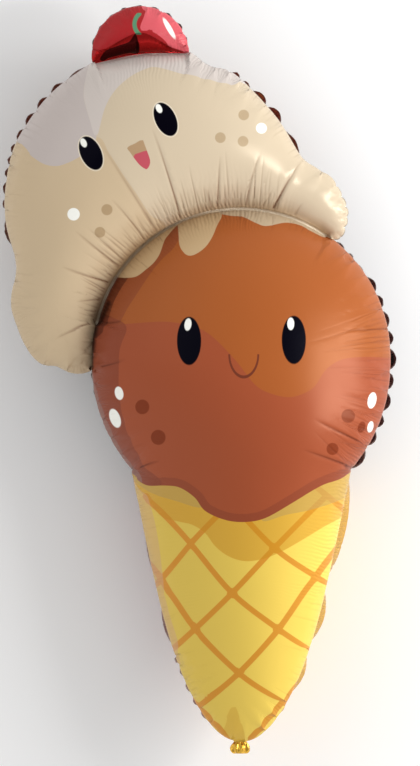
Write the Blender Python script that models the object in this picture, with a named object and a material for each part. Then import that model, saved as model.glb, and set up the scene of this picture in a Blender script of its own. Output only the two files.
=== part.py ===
"""An inflated foil balloon in the shape of an ice cream cone, lying on its back.

Two printed foil sheets are welded round one outline and along two inner lines, and filled with gas.
The envelope is sealed, so it is one solid: a waffle cone that runs into a round scoop, a second scoop
that hangs over the first, a cherry on top and the filling neck at the cone's tip.
X runs across the balloon, Y along it towards the cherry, and Z up, out of the printed front.
"""

import math

import bmesh
import bpy
import numpy as np
from mathutils import Vector
from mathutils.geometry import delaunay_2d_cdt

# Lower scoop and cone
SCOOP_RADIUS = 0.201
SCOOP_FLARE = 0.05
SCOOP_FLARE_BEND = 1.3
CONE_LENGTH = 0.3683
CONE_MOUTH_HALF_WIDTH = 0.1475
CONE_TAPER = 0.076
CONE_TIP_ROUNDNESS = 5
CONE_TWIST_DEG = 12.0
CONE_LIP = 0.0012

# Filling neck at the cone's tip
NECK_HALF_WIDTH = 0.0120
NECK_LENGTH = 0.018

# Cherry
CHERRY_RADIUS = 0.0645
CHERRY_SHOULDER = 0.0035
CHERRY_START_DEG = 191.0
CHERRY_END_DEG = 1.5

# The welded border and the inner weld lines
FLANGE_WIDTH = 0.0035
FLANGE_THICKNESS = 0.0012
WELD_HALF_WIDTH = 0.0016
SLIT_TOP_DEG = 167.5
SLIT_MOUTH_DEG = 184.0
SLIT_MOUTH_HALF_GAP = 0.0045
SHARE_OF_ROOM = 0.30
CREASED_FLANGE_SHARE = 0.35
RIGHT_NOTCH_DEG = 52.4

# How the gas fills the envelope, and how the border gathers
FULLNESS = 1.22
REST_FLAT_DEPTH = 0.012
PUCKER_PITCH = 0.0262
PUCKER_PULL = 0.0030
PUCKER_REACH = 0.030
OVERHANG_REACH = 0.055
BACK_OVERHANG = {
    "scoop right": 0.0150,
    "cone right": 0.0190,
    "neck right": 0.0,
    "neck end": 0.0,
    "neck left": 0.0,
    "cone left": 0.0085,
    "scoop left": 0.0060,
    "slit up": 0.0,
    "slit down": 0.0,
    "topping left": 0.0095,
    "cherry": 0.0060,
    "topping right": 0.0110,
}

# The upper scoop's outline and the cherry's centre, from the lower scoop's centre, in shares of its radius
TOPPING_LEFT = [
    (-1.020, -0.090), (-1.085, -0.105), (-1.165, -0.095), (-1.245, -0.055), (-1.345, -0.040),
    (-1.446, 0.074), (-1.534, 0.297), (-1.541, 0.419), (-1.510, 0.574), (-1.520, 0.682),
    (-1.578, 0.899), (-1.584, 1.108), (-1.534, 1.385), (-1.422, 1.591), (-1.257, 1.791),
]
TOPPING_RIGHT = [
    (-0.216, 1.959), (-0.074, 1.919), (0.074, 1.791), (0.257, 1.581),
    (0.399, 1.351), (0.514, 1.264), (0.608, 1.203), (0.689, 1.074), (0.720, 0.959),
    (0.682, 0.818), (0.608, 0.791),
]
CHERRY_CENTRE = (-0.679, 2.040)
CHERRY_CROWN_SHARE = 0.10

# How finely the sheets are divided
SAMPLES_PER_PUCKER = 4
CURVE_STEPS = 24
ROWS = [(0.0035, 1), (0.0110, 2), (0.0250, 3)]
GRID_SPACING = 0.027
WELD_SPACING = 0.0100
WELD_ROWS = [(0.0060, 1), (0.0150, 2), (0.0270, 3)]
ROW_CLEARANCE = 0.80
THINNED_SPACING = 0.0018

FOIL_COLOUR = (0.62, 0.36, 0.20, 1.0)


def arc(centre, radius, start_deg, end_deg):
    """Points along a circle's arc, both ends included."""
    turns = np.radians(np.linspace(start_deg, end_deg, 2 * CURVE_STEPS))
    return np.column_stack([centre[0] + radius * np.cos(turns), centre[1] + radius * np.sin(turns)])


def smooth(points):
    """A Catmull-Rom curve through an open row of points."""
    given = np.array(points, float)
    padded = np.vstack([2 * given[0] - given[1], given, 2 * given[-1] - given[-2]])
    t = np.linspace(0, 1, CURVE_STEPS, endpoint=False)[:, None]
    spans = []
    for a, b, c, d in zip(padded, padded[1:], padded[2:], padded[3:]):
        rest = (c - a) * t + (2 * a - 5 * b + 4 * c - d) * t**2 + (3 * b - 3 * c + d - a) * t**3
        spans.append(b + 0.5 * rest)
    return np.vstack(spans + [given[-1:]])


def evenly(points, count):
    """That many points, evenly spaced along a line, and the share of the line where each lies."""
    steps = np.hypot(*np.diff(points, axis=0).T)
    run = np.concatenate([[0.0], np.cumsum(steps)])
    at = np.linspace(0, run[-1], count)
    return np.column_stack([np.interp(at, run, points[:, 0]), np.interp(at, run, points[:, 1])])


def line_length(points):
    return float(np.hypot(*np.diff(points, axis=0).T).sum())


def scoop_corner_deg():
    """How far below the lower scoop's middle its side ends at the cone, as an angle."""
    return math.degrees(math.acos((CONE_MOUTH_HALF_WIDTH - CONE_LIP) / SCOOP_RADIUS / (1 + SCOOP_FLARE)))


def scoop_side(start_deg, end_deg):
    """One side of the lower scoop: round, and a little fuller towards the cone."""
    side = arc((0, 0), SCOOP_RADIUS, start_deg, end_deg)
    turns = np.linspace(start_deg, end_deg, len(side))
    below = np.where(np.cos(np.radians(turns)) > 0, -turns, turns - 180)
    share = np.clip(below / scoop_corner_deg(), 0, 1)
    return side * (1 + SCOOP_FLARE * share**SCOOP_FLARE_BEND)[:, None]


def cone_mouth():
    """The middle of the cone's mouth, on the chord between the scoop's two lower corners."""
    corner = math.radians(scoop_corner_deg())
    return np.array([0.0, -SCOOP_RADIUS * (1 + SCOOP_FLARE) * math.sin(corner)])


def cherry_centre():
    return np.array(CHERRY_CENTRE) * SCOOP_RADIUS


def cherry_shoulder(turn_deg):
    """The upper scoop's corner beside the cherry, a small step out from the cherry's own side."""
    return arc(cherry_centre(), CHERRY_RADIUS + CHERRY_SHOULDER, turn_deg, turn_deg)[0]


def cone_side(side):
    """One side of the cone, from its mouth down to the neck: a straight taper that rounds off at the tip."""
    share = 1 - np.linspace(1, 0, 4 * CURVE_STEPS) ** 2
    half = (CONE_MOUTH_HALF_WIDTH - CONE_TAPER * share) * np.sqrt(1 - share**CONE_TIP_ROUNDNESS)
    keep = half > NECK_HALF_WIDTH
    mouth = cone_mouth()
    return np.column_stack([mouth[0] + side * half[keep], mouth[1] - CONE_LENGTH * share[keep]])


def neck_corners():
    """The filling neck's four corners, from its right root round its square end to its left root."""
    mouth = cone_mouth()
    root = mouth[1] - CONE_LENGTH
    half = NECK_HALF_WIDTH
    corners = [(half, root), (half, root - NECK_LENGTH), (-half, root - NECK_LENGTH), (-half, root)]
    return np.array([(mouth[0] + x, y) for x, y in corners])


def slit_side(side):
    """One side of the slit between the lower scoop and the upper scoop's left lobe, which opens downwards."""
    turns = np.radians(np.linspace(SLIT_TOP_DEG, SLIT_MOUTH_DEG, CURVE_STEPS))
    share = np.linspace(0, 1, CURVE_STEPS)
    radius = SCOOP_RADIUS + side * SLIT_MOUTH_HALF_GAP * np.sqrt(share)
    return np.column_stack([radius * np.cos(turns), radius * np.sin(turns)])


def outline_pieces():
    """The weld line round the balloon, clockwise, as named pieces that follow each other."""
    corner = scoop_corner_deg()
    neck = neck_corners()
    left = np.vstack([np.array(TOPPING_LEFT) * SCOOP_RADIUS, cherry_shoulder(CHERRY_START_DEG)])
    right = np.vstack([cherry_shoulder(CHERRY_END_DEG), np.array(TOPPING_RIGHT) * SCOOP_RADIUS])
    return [
        ("scoop right", scoop_side(RIGHT_NOTCH_DEG, -corner)),
        ("cone right", cone_side(1)),
        ("neck right", neck[0:1]),
        ("neck end", neck[1:2]),
        ("neck left", neck[2:4]),
        ("cone left", cone_side(-1)[::-1]),
        ("scoop left", scoop_side(180 + corner, SLIT_MOUTH_DEG)),
        ("slit up", slit_side(-1)[::-1]),
        ("slit down", slit_side(1)),
        ("topping left", smooth(left)),
        ("cherry", arc(cherry_centre(), CHERRY_RADIUS, CHERRY_START_DEG, CHERRY_END_DEG)),
        ("topping right", smooth(right)),
    ]


def sampled_outline():
    """The weld line as points with, at each, the back's overhang and the pucker's rise.

    The rise is 0 where the border is gathered into a crease and 1 halfway between two creases. There is
    a crease at every corner of the outline, and the neck has none.
    """
    pieces = outline_pieces()
    points = []
    rise = []
    overhang = []
    for (name, line), (_, following) in zip(pieces, pieces[1:] + pieces[:1]):
        line = np.vstack([line, following[:1]])
        count = SAMPLES_PER_PUCKER * max(1, round(line_length(line) / PUCKER_PITCH))
        points.append(evenly(line, count + 1)[:-1])
        swell = np.abs(np.sin(math.pi * np.arange(count) / SAMPLES_PER_PUCKER))
        rise.append(np.ones(count) if name.startswith("neck") else swell)
        overhang.append(np.full(count, BACK_OVERHANG[name]))
    overhang = np.concatenate(overhang)
    around = np.concatenate([overhang[-SAMPLES_PER_PUCKER:], overhang, overhang[:SAMPLES_PER_PUCKER]])
    blend = np.ones(2 * SAMPLES_PER_PUCKER + 1)
    overhang = np.convolve(around, blend / blend.sum(), mode="valid")
    return np.vstack(points), np.concatenate(rise), overhang


def nearest(points, targets):
    """The distance from each point to the nearest target, and that target's place in the row."""
    gaps = np.hypot(points[:, None, 0] - targets[None, :, 0], points[:, None, 1] - targets[None, :, 1])
    return gaps.min(axis=1), gaps.argmin(axis=1)


def room_beside(points):
    """The room beside each point of a closed line, up to a stretch of the line that turns back there."""
    gaps = np.hypot(points[:, None, 0] - points[None, :, 0], points[:, None, 1] - points[None, :, 1])
    steps = np.hypot(*(np.roll(points, -1, axis=0) - points).T)
    run = np.cumsum(steps) - steps
    along = np.abs(run[:, None] - run[None, :])
    along = np.minimum(along, steps.sum() - along)
    gaps[along < 1.25 * gaps + 1e-6] = np.inf
    room = gaps.min(axis=1)
    return np.minimum(room, np.minimum(np.roll(room, 1), np.roll(room, -1)))


def flange_border(seam, normals, rise, room):
    """The flange's cut edge: narrow in the creases, where the seam faces itself and in sharp corners."""
    width = FLANGE_WIDTH * (CREASED_FLANGE_SHARE + (1 - CREASED_FLANGE_SHARE) * rise)
    width = np.minimum(width, SHARE_OF_ROOM * room)
    ahead = np.roll(seam, -1, axis=0) - seam
    folded = np.ones(len(seam), bool)
    while folded.any():
        border = seam + width[:, None] * normals
        step = np.roll(border, -1, axis=0) - border
        folded = (step * ahead).sum(axis=1) < 0.25 * (ahead * ahead).sum(axis=1)
        width[folded | np.roll(folded, 1)] *= 0.7
    return border


def outward_normals(points):
    """Unit normals of a closed clockwise line, pointing out of it and halving its corners."""
    ahead = np.roll(points, -1, axis=0) - points
    ahead /= np.hypot(*ahead.T)[:, None]
    along = ahead + np.roll(ahead, 1, axis=0)
    along /= np.hypot(*along.T)[:, None]
    return np.column_stack([-along[:, 1], along[:, 0]])


def inside(points, loop):
    """Which points lie inside a closed line."""
    found = np.zeros(len(points), bool)
    x, y = points.T
    for (x1, y1), (x2, y2) in zip(loop, np.roll(loop, -1, axis=0)):
        crosses = (y1 > y) != (y2 > y)
        if y1 != y2:
            found ^= crosses & (x < (x2 - x1) * (y - y1) / (y2 - y1) + x1)
    return found


def weld_lines():
    """The two inner weld lines: under the upper scoop, and under the cherry."""
    under_topping = arc((0, 0), SCOOP_RADIUS, SLIT_TOP_DEG, RIGHT_NOTCH_DEG)
    start = cherry_shoulder(CHERRY_START_DEG)
    end = cherry_shoulder(CHERRY_END_DEG)
    crown = np.array([cherry_centre()[0], (start[1] + end[1]) / 2 + CHERRY_CROWN_SHARE * CHERRY_RADIUS])
    return [under_topping, smooth([start, crown, end])]


def welded_strips():
    """The flat strip along each inner weld line: the points of its two edges and the unit steps across."""
    strips = []
    for line in weld_lines():
        points = evenly(line, round(line_length(line) / WELD_SPACING))
        along = np.gradient(points, axis=0)
        along /= np.hypot(*along.T)[:, None]
        across = np.column_stack([-along[:, 1], along[:, 0]])[1:-1]
        half = WELD_HALF_WIDTH * across
        strips.append((points[1:-1] - half, points[1:-1] + half, across))
    return strips


def offset_rows(points, normals, rows, held):
    """Rows of points that follow a line further and further in, thinned out as they go."""
    made = []
    for distance, every in rows:
        for i in range(0, len(points), every):
            place = points[i] - distance * normals[i]
            if nearest(place[None], held)[0][0] > ROW_CLEARANCE * distance:
                made.append(place)
    return np.array(made)


def sheet_points(seam, border):
    """Every point of one foil sheet, laid flat: border, seam, inner welds, rows beside them, coarse grid."""
    strips = welded_strips()
    edges = np.vstack([edge for low_edge, high_edge, _ in strips for edge in (low_edge, high_edge)])
    held = np.vstack([seam, edges])
    rows = [offset_rows(seam, outward_normals(seam), ROWS, held)]
    for low_edge, high_edge, across in strips:
        rows.append(offset_rows(low_edge, across, WELD_ROWS, held))
        rows.append(offset_rows(high_edge, -across, WELD_ROWS, held))
    beside = thinned(np.vstack(rows), held)
    beside = beside[inside(beside, seam)]
    low = seam.min(axis=0)
    high = seam.max(axis=0)
    levels = np.arange(low[1], high[1], GRID_SPACING * math.sqrt(0.75))
    grid = [
        (x + (row % 2) * GRID_SPACING / 2, y)
        for row, y in enumerate(levels)
        for x in np.arange(low[0], high[0], GRID_SPACING)
    ]
    grid = np.array(grid)
    grid = grid[inside(grid, seam)]
    grid = grid[nearest(grid, held)[0] > ROWS[-1][0] + GRID_SPACING / 3]
    grid = grid[nearest(grid, beside)[0] > GRID_SPACING / 2]
    return np.vstack([border, seam, edges, beside, grid]), len(edges)


def thinned(points, held):
    """The points that keep clear of the ones before them, by a share of their own distance from the welds."""
    reach = nearest(points, held)[0]
    kept = []
    for i in np.argsort(reach, kind="stable"):
        if not kept or nearest(points[i][None], points[kept])[0][0] > 0.35 * reach[i] + THINNED_SPACING:
            kept.append(i)
    return points[kept]


def triangulated(points, border_count, seam_count):
    """Triangles over the flat sheet, all facing up, none outside the border."""
    edges = [(i, (i + 1) % border_count) for i in range(border_count)]
    edges += [(border_count + i, border_count + (i + 1) % seam_count) for i in range(seam_count)]
    _, _, faces, origins, _, _ = delaunay_2d_cdt([Vector(p) for p in points.tolist()], edges, [], 0, 1e-9)
    source = np.array([origin[0] for origin in origins])
    faces = source[np.array(faces)]
    faces = faces[inside(points[faces].mean(axis=1), points[:border_count])]
    a, b, c = (points[faces[:, k]] for k in range(3))
    doubled = (b[:, 0] - a[:, 0]) * (c[:, 1] - a[:, 1]) - (b[:, 1] - a[:, 1]) * (c[:, 0] - a[:, 0])
    faces[doubled < 0] = faces[doubled < 0][:, ::-1]
    return faces


def swelling(points, faces, free):
    """How far the gas lifts each point from the weld's level.

    A film held at the welds and pushed up evenly takes a height that solves Poisson's equation, and the
    root of that height is an ellipse across a round cell and a fuller one across a long cell, as in foil.
    """
    count = len(points)
    stiffness = np.zeros((count, count))
    load = np.zeros(count)
    for k in range(3):
        i, j, far = faces[:, k], faces[:, (k + 1) % 3], faces[:, (k + 2) % 3]
        u = points[i] - points[far]
        v = points[j] - points[far]
        doubled = np.abs(u[:, 0] * v[:, 1] - u[:, 1] * v[:, 0])
        weight = (u * v).sum(axis=1) / doubled / 2
        np.add.at(stiffness, (i, j), -weight)
        np.add.at(stiffness, (j, i), -weight)
        np.add.at(stiffness, (i, i), weight)
        np.add.at(stiffness, (j, j), weight)
        np.add.at(load, i, doubled / 6)
    height = np.zeros(count)
    height[free] = np.linalg.solve(stiffness[np.ix_(free, free)], load[free])
    return FULLNESS * np.sqrt(np.clip(height, 0, None))


def seam_level(points):
    """How far the cone's twist raises the weld's level at each point: its right side turns up."""
    mouth = cone_mouth()
    share = np.clip(points[:, 1] / mouth[1], 0, 1)
    eased = share * share * (3 - 2 * share)
    return math.tan(math.radians(CONE_TWIST_DEG)) * (points[:, 0] - mouth[0]) * eased


def balloon_sheets():
    """The front and back sheets as points in space, the triangles both share and the border's count."""
    seam, rise, overhang = sampled_outline()
    normals = outward_normals(seam)
    seam = seam - PUCKER_PULL * (1 - rise)[:, None] * normals
    end = cone_mouth()[1] - CONE_LENGTH - NECK_LENGTH
    at_end = np.abs(seam[:, 1] - end) < 1e-6
    room = room_beside(seam)
    overhang = np.minimum(overhang, SHARE_OF_ROOM * room)
    border = flange_border(seam, normals, rise, room)
    border[at_end, 1] = end - FLANGE_WIDTH
    points, weld_count = sheet_points(seam, border)
    faces = triangulated(points, len(border), len(seam))
    used = np.unique(faces)
    held = np.zeros(len(points), bool)
    held[: len(border) + len(seam) + weld_count] = True
    end_ids = np.flatnonzero(at_end)
    held[end_ids] = False
    held[len(border) + end_ids] = False
    lift = swelling(points, faces, np.setdiff1d(used, np.flatnonzero(held)))

    gap, place = nearest(points, seam)
    inner = np.ones(len(points))
    inner[: len(border) + len(seam)] = 0
    crease = PUCKER_PULL * (1 - rise[place]) * np.exp(-gap / PUCKER_REACH) * inner
    lift = np.maximum(lift - crease, 0)

    reach = np.clip(gap / OVERHANG_REACH, 0, 1)
    swing = overhang[place] * (1 - reach) ** 2 * inner
    swing *= rise[place] * np.exp(-gap / PUCKER_REACH) + (1 - np.exp(-gap / PUCKER_REACH))
    back = points + swing[:, None] * normals[place]

    level = seam_level(points)
    half = FLANGE_THICKNESS / 2
    front = np.column_stack([points, level + half + lift])
    back = np.column_stack([back, level - half - lift])
    back[:, 2] = np.maximum(back[:, 2], back[used, 2].min() + REST_FLAT_DEPTH)
    return front, back, faces, len(border)


def centred(front, back):
    """Both sheets moved so that the balloon lies on Z = 0, centred on the origin in X and Y."""
    both = np.vstack([front, back])
    low = both.min(axis=0)
    high = both.max(axis=0)
    shift = np.array([(low[0] + high[0]) / 2, (low[1] + high[1]) / 2, low[2]])
    return front - shift, back - shift


def foil_material():
    """Satin foil in the lower scoop's colour."""
    material = bpy.data.materials.new("printed_foil")
    material.use_nodes = True
    shader = material.node_tree.nodes["Principled BSDF"]
    shader.inputs["Base Color"].default_value = FOIL_COLOUR
    shader.inputs["Metallic"].default_value = 0.6
    shader.inputs["Roughness"].default_value = 0.3
    return material


def build_balloon(collection):
    """The envelope: a front sheet, a back sheet turned over, and the cut edge that joins them."""
    front, back, faces, border_count = balloon_sheets()
    front, back = centred(front, back)
    mesh = bpy.data.meshes.new("foil_balloon")
    shape = bmesh.new()
    tops = [shape.verts.new(p) for p in front]
    bottoms = [shape.verts.new(p) for p in back]
    for a, b, c in faces:
        shape.faces.new((tops[a], tops[b], tops[c]))
        shape.faces.new((bottoms[c], bottoms[b], bottoms[a]))
    for i in range(border_count):
        j = (i + 1) % border_count
        shape.faces.new((tops[i], tops[j], bottoms[j], bottoms[i]))
    loose = [v for v in shape.verts if not v.link_faces]
    bmesh.ops.delete(shape, geom=loose, context="VERTS")
    bmesh.ops.recalc_face_normals(shape, faces=shape.faces)
    shape.to_mesh(mesh)
    shape.free()
    mesh.shade_smooth()
    mesh.materials.append(foil_material())
    balloon = bpy.data.objects.new("foil_balloon", mesh)
    collection.objects.link(balloon)
    return balloon


def main():
    for old in list(bpy.data.objects):
        bpy.data.objects.remove(old)
    collection = bpy.data.collections.new("ice_cream_cone_foil_balloon")
    bpy.context.scene.collection.children.link(collection)
    build_balloon(collection)


main()
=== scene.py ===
"""An inflated foil balloon in the shape of an ice cream cone, as printed, gathered and creased foil.

Two foil sheets are welded round one outline and along two inner lines. The front sheet carries the
print, the back sheet is plain metallic foil that bulges out between the gathers of the weld; its
darker colours are painted reflection, standing in for the dark surroundings that the foil mirrors. The
printed shapes are drawn on an artwork grid, whose origin is its upper left corner.
"""

import math
from types import SimpleNamespace

import bmesh
import bpy
import numpy as np
from bpy.props import FloatProperty, FloatVectorProperty, IntProperty, PointerProperty
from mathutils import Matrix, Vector
from mathutils.geometry import delaunay_2d_cdt
from mathutils.kdtree import KDTree


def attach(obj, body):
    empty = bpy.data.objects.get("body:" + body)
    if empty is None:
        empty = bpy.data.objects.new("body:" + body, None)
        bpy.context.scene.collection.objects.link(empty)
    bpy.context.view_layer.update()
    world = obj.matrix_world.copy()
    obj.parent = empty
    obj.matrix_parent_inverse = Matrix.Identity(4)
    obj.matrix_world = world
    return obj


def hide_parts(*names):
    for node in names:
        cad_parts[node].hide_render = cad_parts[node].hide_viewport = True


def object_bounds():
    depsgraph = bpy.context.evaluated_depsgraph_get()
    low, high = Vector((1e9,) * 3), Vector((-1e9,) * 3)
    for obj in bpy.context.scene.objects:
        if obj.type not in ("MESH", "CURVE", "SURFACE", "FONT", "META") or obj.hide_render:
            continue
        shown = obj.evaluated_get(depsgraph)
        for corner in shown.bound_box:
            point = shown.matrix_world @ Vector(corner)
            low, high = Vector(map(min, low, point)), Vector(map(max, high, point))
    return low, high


bl_info = {
    "name": "Ice Cream Cone Foil Balloon",
    "version": (1, 0, 0),
    "blender": (4, 5, 0),
    "location": "3D View > Sidebar > Foil Balloon",
    "description": "Dresses the balloon's solid as printed, gathered and creased foil",
    "category": "Add Mesh",
}

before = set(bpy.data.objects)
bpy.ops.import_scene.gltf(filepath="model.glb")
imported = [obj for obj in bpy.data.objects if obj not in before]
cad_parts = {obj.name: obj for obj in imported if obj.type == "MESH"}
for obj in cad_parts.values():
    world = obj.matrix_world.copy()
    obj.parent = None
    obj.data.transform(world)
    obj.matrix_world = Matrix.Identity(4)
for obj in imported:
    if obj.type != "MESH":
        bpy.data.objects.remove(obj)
CAD_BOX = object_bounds()

# The lower scoop's centre in the frame, and the artwork grid: its centre there and its unit in metres
SCOOP_CENTRE = (0.0566, 0.0322)
ART_CENTRE = (241.0, 357.0)
ART_UNIT = 0.0013564

# The upper scoop's free outline and the cherry's centre, in shares of the lower scoop's radius
TOPPING_LEFT = [
    (-1.020, -0.090), (-1.085, -0.105), (-1.165, -0.095), (-1.245, -0.055), (-1.345, -0.040),
    (-1.446, 0.074), (-1.534, 0.297), (-1.541, 0.419), (-1.510, 0.574), (-1.520, 0.682),
    (-1.578, 0.899), (-1.584, 1.108), (-1.534, 1.385), (-1.422, 1.591), (-1.257, 1.791),
]
TOPPING_RIGHT = [
    (-0.216, 1.959), (-0.074, 1.919), (0.074, 1.791), (0.257, 1.581),
    (0.399, 1.351), (0.514, 1.264), (0.608, 1.203), (0.689, 1.074), (0.720, 0.959),
    (0.682, 0.818), (0.608, 0.791),
]
CHERRY_CENTRE = (-0.679, 2.040)
CHERRY_START_DEG = 191.0
CHERRY_END_DEG = 1.5
CHERRY_SHOULDER = 0.0035
CHERRY_CROWN_SHARE = 0.10
SLIT_TOP_DEG = 167.5
SLIT_MOUTH_DEG = 184.0
SLIT_MOUTH_HALF_GAP = 0.0013
RIGHT_NOTCH_DEG = 52.4
SCOOP_FLARE = 0.05
SCOOP_FLARE_BEND = 1.3
CONE_LIP = 0.0012
CONE_TIP_ROUNDNESS = 5
NECK_ROLL = 0.004
NECK_TAB_SHARE = 0.3

# How each piece of the outline is gathered. First come the creases, as shares of the piece's length, then
# how far the back sheet bulges past the weld, in millimetres at shares of that length. Last come the
# spacing, reach and depth of the fine creases that run in over the front sheet, in millimetres, and the
# shares of the piece that they start and end at.
GATHERS = {
    "scoop right": (
        [0, 0.075, 0.121, 0.19, 0.272, 0.337, 0.417, 0.483, 0.58, 0.656, 0.743, 0.809, 0.887, 1],
        [(0, 6), (0.05, 10), (0.1, 9), (0.155, 7), (0.23, 14), (0.3, 13), (0.45, 13.5), (0.53, 16),
         (0.62, 14), (0.7, 15.5), (0.78, 12), (0.85, 13), (1, 14)],
        (4.4, 38, 0.8, 0.30, 1),
    ),
    "cone right": (
        [0, 0.39, 0.61, 0.80, 0.86, 0.92, 1],
        [(0, 14), (0.15, 18), (0.3, 17), (0.39, 12), (0.5, 15), (0.61, 11), (0.7, 13), (0.8, 8), (0.9, 6),
         (1, 0)],
        (4.8, 13, 0.4, 0, 0.8),
    ),
    "neck right": ([0, 1], [(0, 0), (1, 0)], None),
    "neck end": ([0, 1], [(0, 0), (1, 0)], None),
    "neck left": ([0, 1], [(0, 0), (1, 0)], None),
    "cone left": (
        [0, 0.09, 0.15, 0.20, 0.26, 0.31, 0.35, 0.56, 0.87, 1],
        [(0, 0), (0.05, 6), (0.12, 8), (0.2, 9), (0.3, 8.5), (0.45, 10), (0.56, 6.5), (0.7, 8), (0.87, 5),
         (1, 5)],
        (5.4, 12, 0.45, 0, 1),
    ),
    "scoop left": (
        [0, 0.17, 0.34, 0.52, 0.68, 0.84, 1], [(0, 5), (0.7, 5), (0.8, 7.5), (0.95, 8), (1, 3)],
        (6.0, 16, 0.7, 0, 1),
    ),
    "slit up": ([0, 0.34, 0.67, 1], [(0, 0), (1, 0)], (6.0, 12, 0.8, 0, 1)),
    "slit down": ([0, 0.34, 0.67, 1], [(0, 0), (1, 0)], (6.0, 12, 0.8, 0, 1)),
    "topping left": (
        [0, 0.06, 0.12, 0.18, 0.24, 0.30, 0.36, 0.425, 0.54, 0.576, 0.62, 0.655, 0.685, 0.717, 0.76, 0.81,
         0.862, 0.915, 1],
        [(0, 0), (0.36, 0), (0.425, 5), (0.48, 10.5), (0.54, 9), (0.6, 11), (0.7, 11.5), (0.8, 12),
         (0.92, 13), (1, 7)],
        (7.0, 13, 0.35, 0, 1),
    ),
    "cherry": (
        [0, 0.09, 0.19, 0.28, 0.38, 0.46, 0.57, 0.66, 0.76, 0.85, 0.93, 1],
        [(0, 6), (0.2, 8), (0.8, 8), (1, 5)], (6.0, 9, 0.4, 0, 1),
    ),
    "topping right": (
        [0, 0.055, 0.11, 0.165, 0.215, 0.265, 0.35, 0.445, 0.60, 0.68, 0.75, 0.80, 0.84, 0.88, 0.92,
         0.96, 1],
        [(0, 0), (0.12, 2), (0.165, 9), (0.19, 12), (0.24, 10), (0.31, 15), (0.4, 16), (0.445, 11),
         (0.52, 12), (0.6, 7), (0.7, 2.5), (0.8, 1.5), (1, 2)],
        (5.6, 12, 0.5, 0, 0.62),
    ),
}
# Where the front sheet doesn't roll over the weld's gathers: the outline piece, the share it starts at and
# the share over which it does so
OPEN_WELD = ("topping right", 0.74, 0.06)

# The share of the inner weld that the fan of creases above it covers, from the left
FAN_END = 0.80

# Fans of creases: spacing, reach and depth in metres, and how far they lean, in radians
SEAM_FAN_LEAN = 0.12
ABOVE_WELD_FAN = (0.0042, 0.036, 0.0014, 0.10)
BELOW_WELD_FAN = (0.0060, 0.012, 0.0009, 0.20)
BACK_SEAM_FAN = (0.013, 0.022, 0.002, 0.30)
BACK_ABOVE_FAN = (0.0120, 0.030, 0.0018, 0.16)
BACK_BELOW_FAN = (0.0120, 0.024, 0.0018, 0.20)

# How the sheets leave the welds, in metres: how far in a bulge past the seam reaches, how soon each sheet
# rolls out over it, how far in the back's scallops reach, and the inner weld's stand, its foot's width and
# the length over which it dies away at its ends
BULGE_REACH = 0.055
FRONT_ROLL = 0.0013
BACK_ROLL = 0.0015
SCALLOP_REACH = 0.030
WELD_STAND = 0.0125
WELD_FOOT = 0.0048
WELD_TAPER = 0.045

# The rolled neck's rings: metres along it from its root, then the half width and half depth as shares of
# the neck's half width. Then the points of a ring, as turns, and how far the neck sits off the cone's axis
NECK_RINGS = [
    (0.012, 0.50, 0.70), (0.009, 0.78, 0.92), (0.006, 0.92, 1.00), (0.0035, 0.88, 0.92),
    (0.001, 0.66, 0.74), (-0.0015, 0.62, 0.66), (-0.004, 0.80, 0.74), (-0.007, 0.98, 0.84),
    (-0.0105, 1.06, 0.88), (-0.0135, 1.05, 0.86), (-0.016, 0.95, 0.76), (-0.0175, 0.78, 0.58),
    (-0.0179, 0.55, 0.38), (-0.0168, 0.30, 0.20),
]
NECK_TURNS = [2 * math.pi * k / 72 for k in range(72)]
NECK_SHIFT = -0.0012

# The print: its edges' softness in metres, how far an arc's cut ends fade and where the painted shade
# darkens the cone to the left, both in units of the grid, and the tint of each colour's gloss
EDGE_SOFTNESS = 0.0004
ARC_END = 0.4
CONE_PAINTED_SHADE_SPAN = (-75.0, 70.0)
VANILLA_GLOSS = (1.0, 0.95, 0.84)
CONE_GLOSS = (1.0, 0.86, 0.55)
CHOCOLATE_GLOSS = (1.0, 0.76, 0.55)
EYE_GLOSS = (0.20, 0.20, 0.26)
BACK_GLOSS = (0.32, 0.17, 0.14, 1.0)

# The stage: the place on the artwork grid that the camera looks down on, and the floor, in metres
VIEW_CENTRE = (210.0, 383.0)
FLOOR_SIDE = 8.0
FLOOR_LEVEL = -0.0005

# How finely the sheets are divided
STEP_LENGTH = 0.00165
CURVE_STEPS = 24
ROWS = [0.0008, 0.0019, 0.0033, 0.0050, 0.0070, 0.0093, 0.0120]
FINE_SPACING = 0.0025
FINE_REACH = 0.036
EVEN_SPACING = 0.0044
WELD_HALF_WIDTH = 0.0017
LEVEL_CELL = 0.0030

# Long creases of the front sheet on the artwork grid: from, to, depth and width in millimetres
LONG_CREASES = [
    ((182, 224), (152, 128), 2.2, 1.6),
    ((157, 232), (98, 139), 1.0, 2.6),
    ((147, 243), (112, 200), 1.8, 1.5),
    ((126, 263), (88, 228), 1.4, 1.6),
    ((121, 268), (75, 231), 1.9, 1.6),
    ((111, 283), (62, 267), 2.2, 1.6),
    ((102, 299), (76, 302), 1.5, 1.4),
    ((96, 319), (55, 339), 2.2, 1.6),
    ((97, 331), (76, 356), 1.8, 1.6),
    ((217, 210), (220, 156), 1.8, 1.5),
    ((245, 211), (261, 151), 1.6, 1.5),
    ((257, 213), (273, 189), 1.2, 1.3),
    ((271, 213), (299, 162), 4.2, 2.2),
    ((293, 222), (303, 203), 1.3, 1.4),
    ((104, 323), (126, 320), 1.8, 1.5),
    ((94, 368), (127, 359), 1.9, 1.6),
    ((134, 471), (161, 460), 2.8, 1.7),
    ((388, 327), (341, 330), 1.7, 1.5),
    ((372, 446), (313, 419), 2.4, 1.8),
    ((354, 466), (302, 449), 2.8, 1.8),
    ((137, 50), (137, 34), 4.5, 3.0),
    ((104, 52), (133, 34), 2.0, 2.4),
    ((170, 48), (148, 34), 2.0, 2.4),
]
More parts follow.
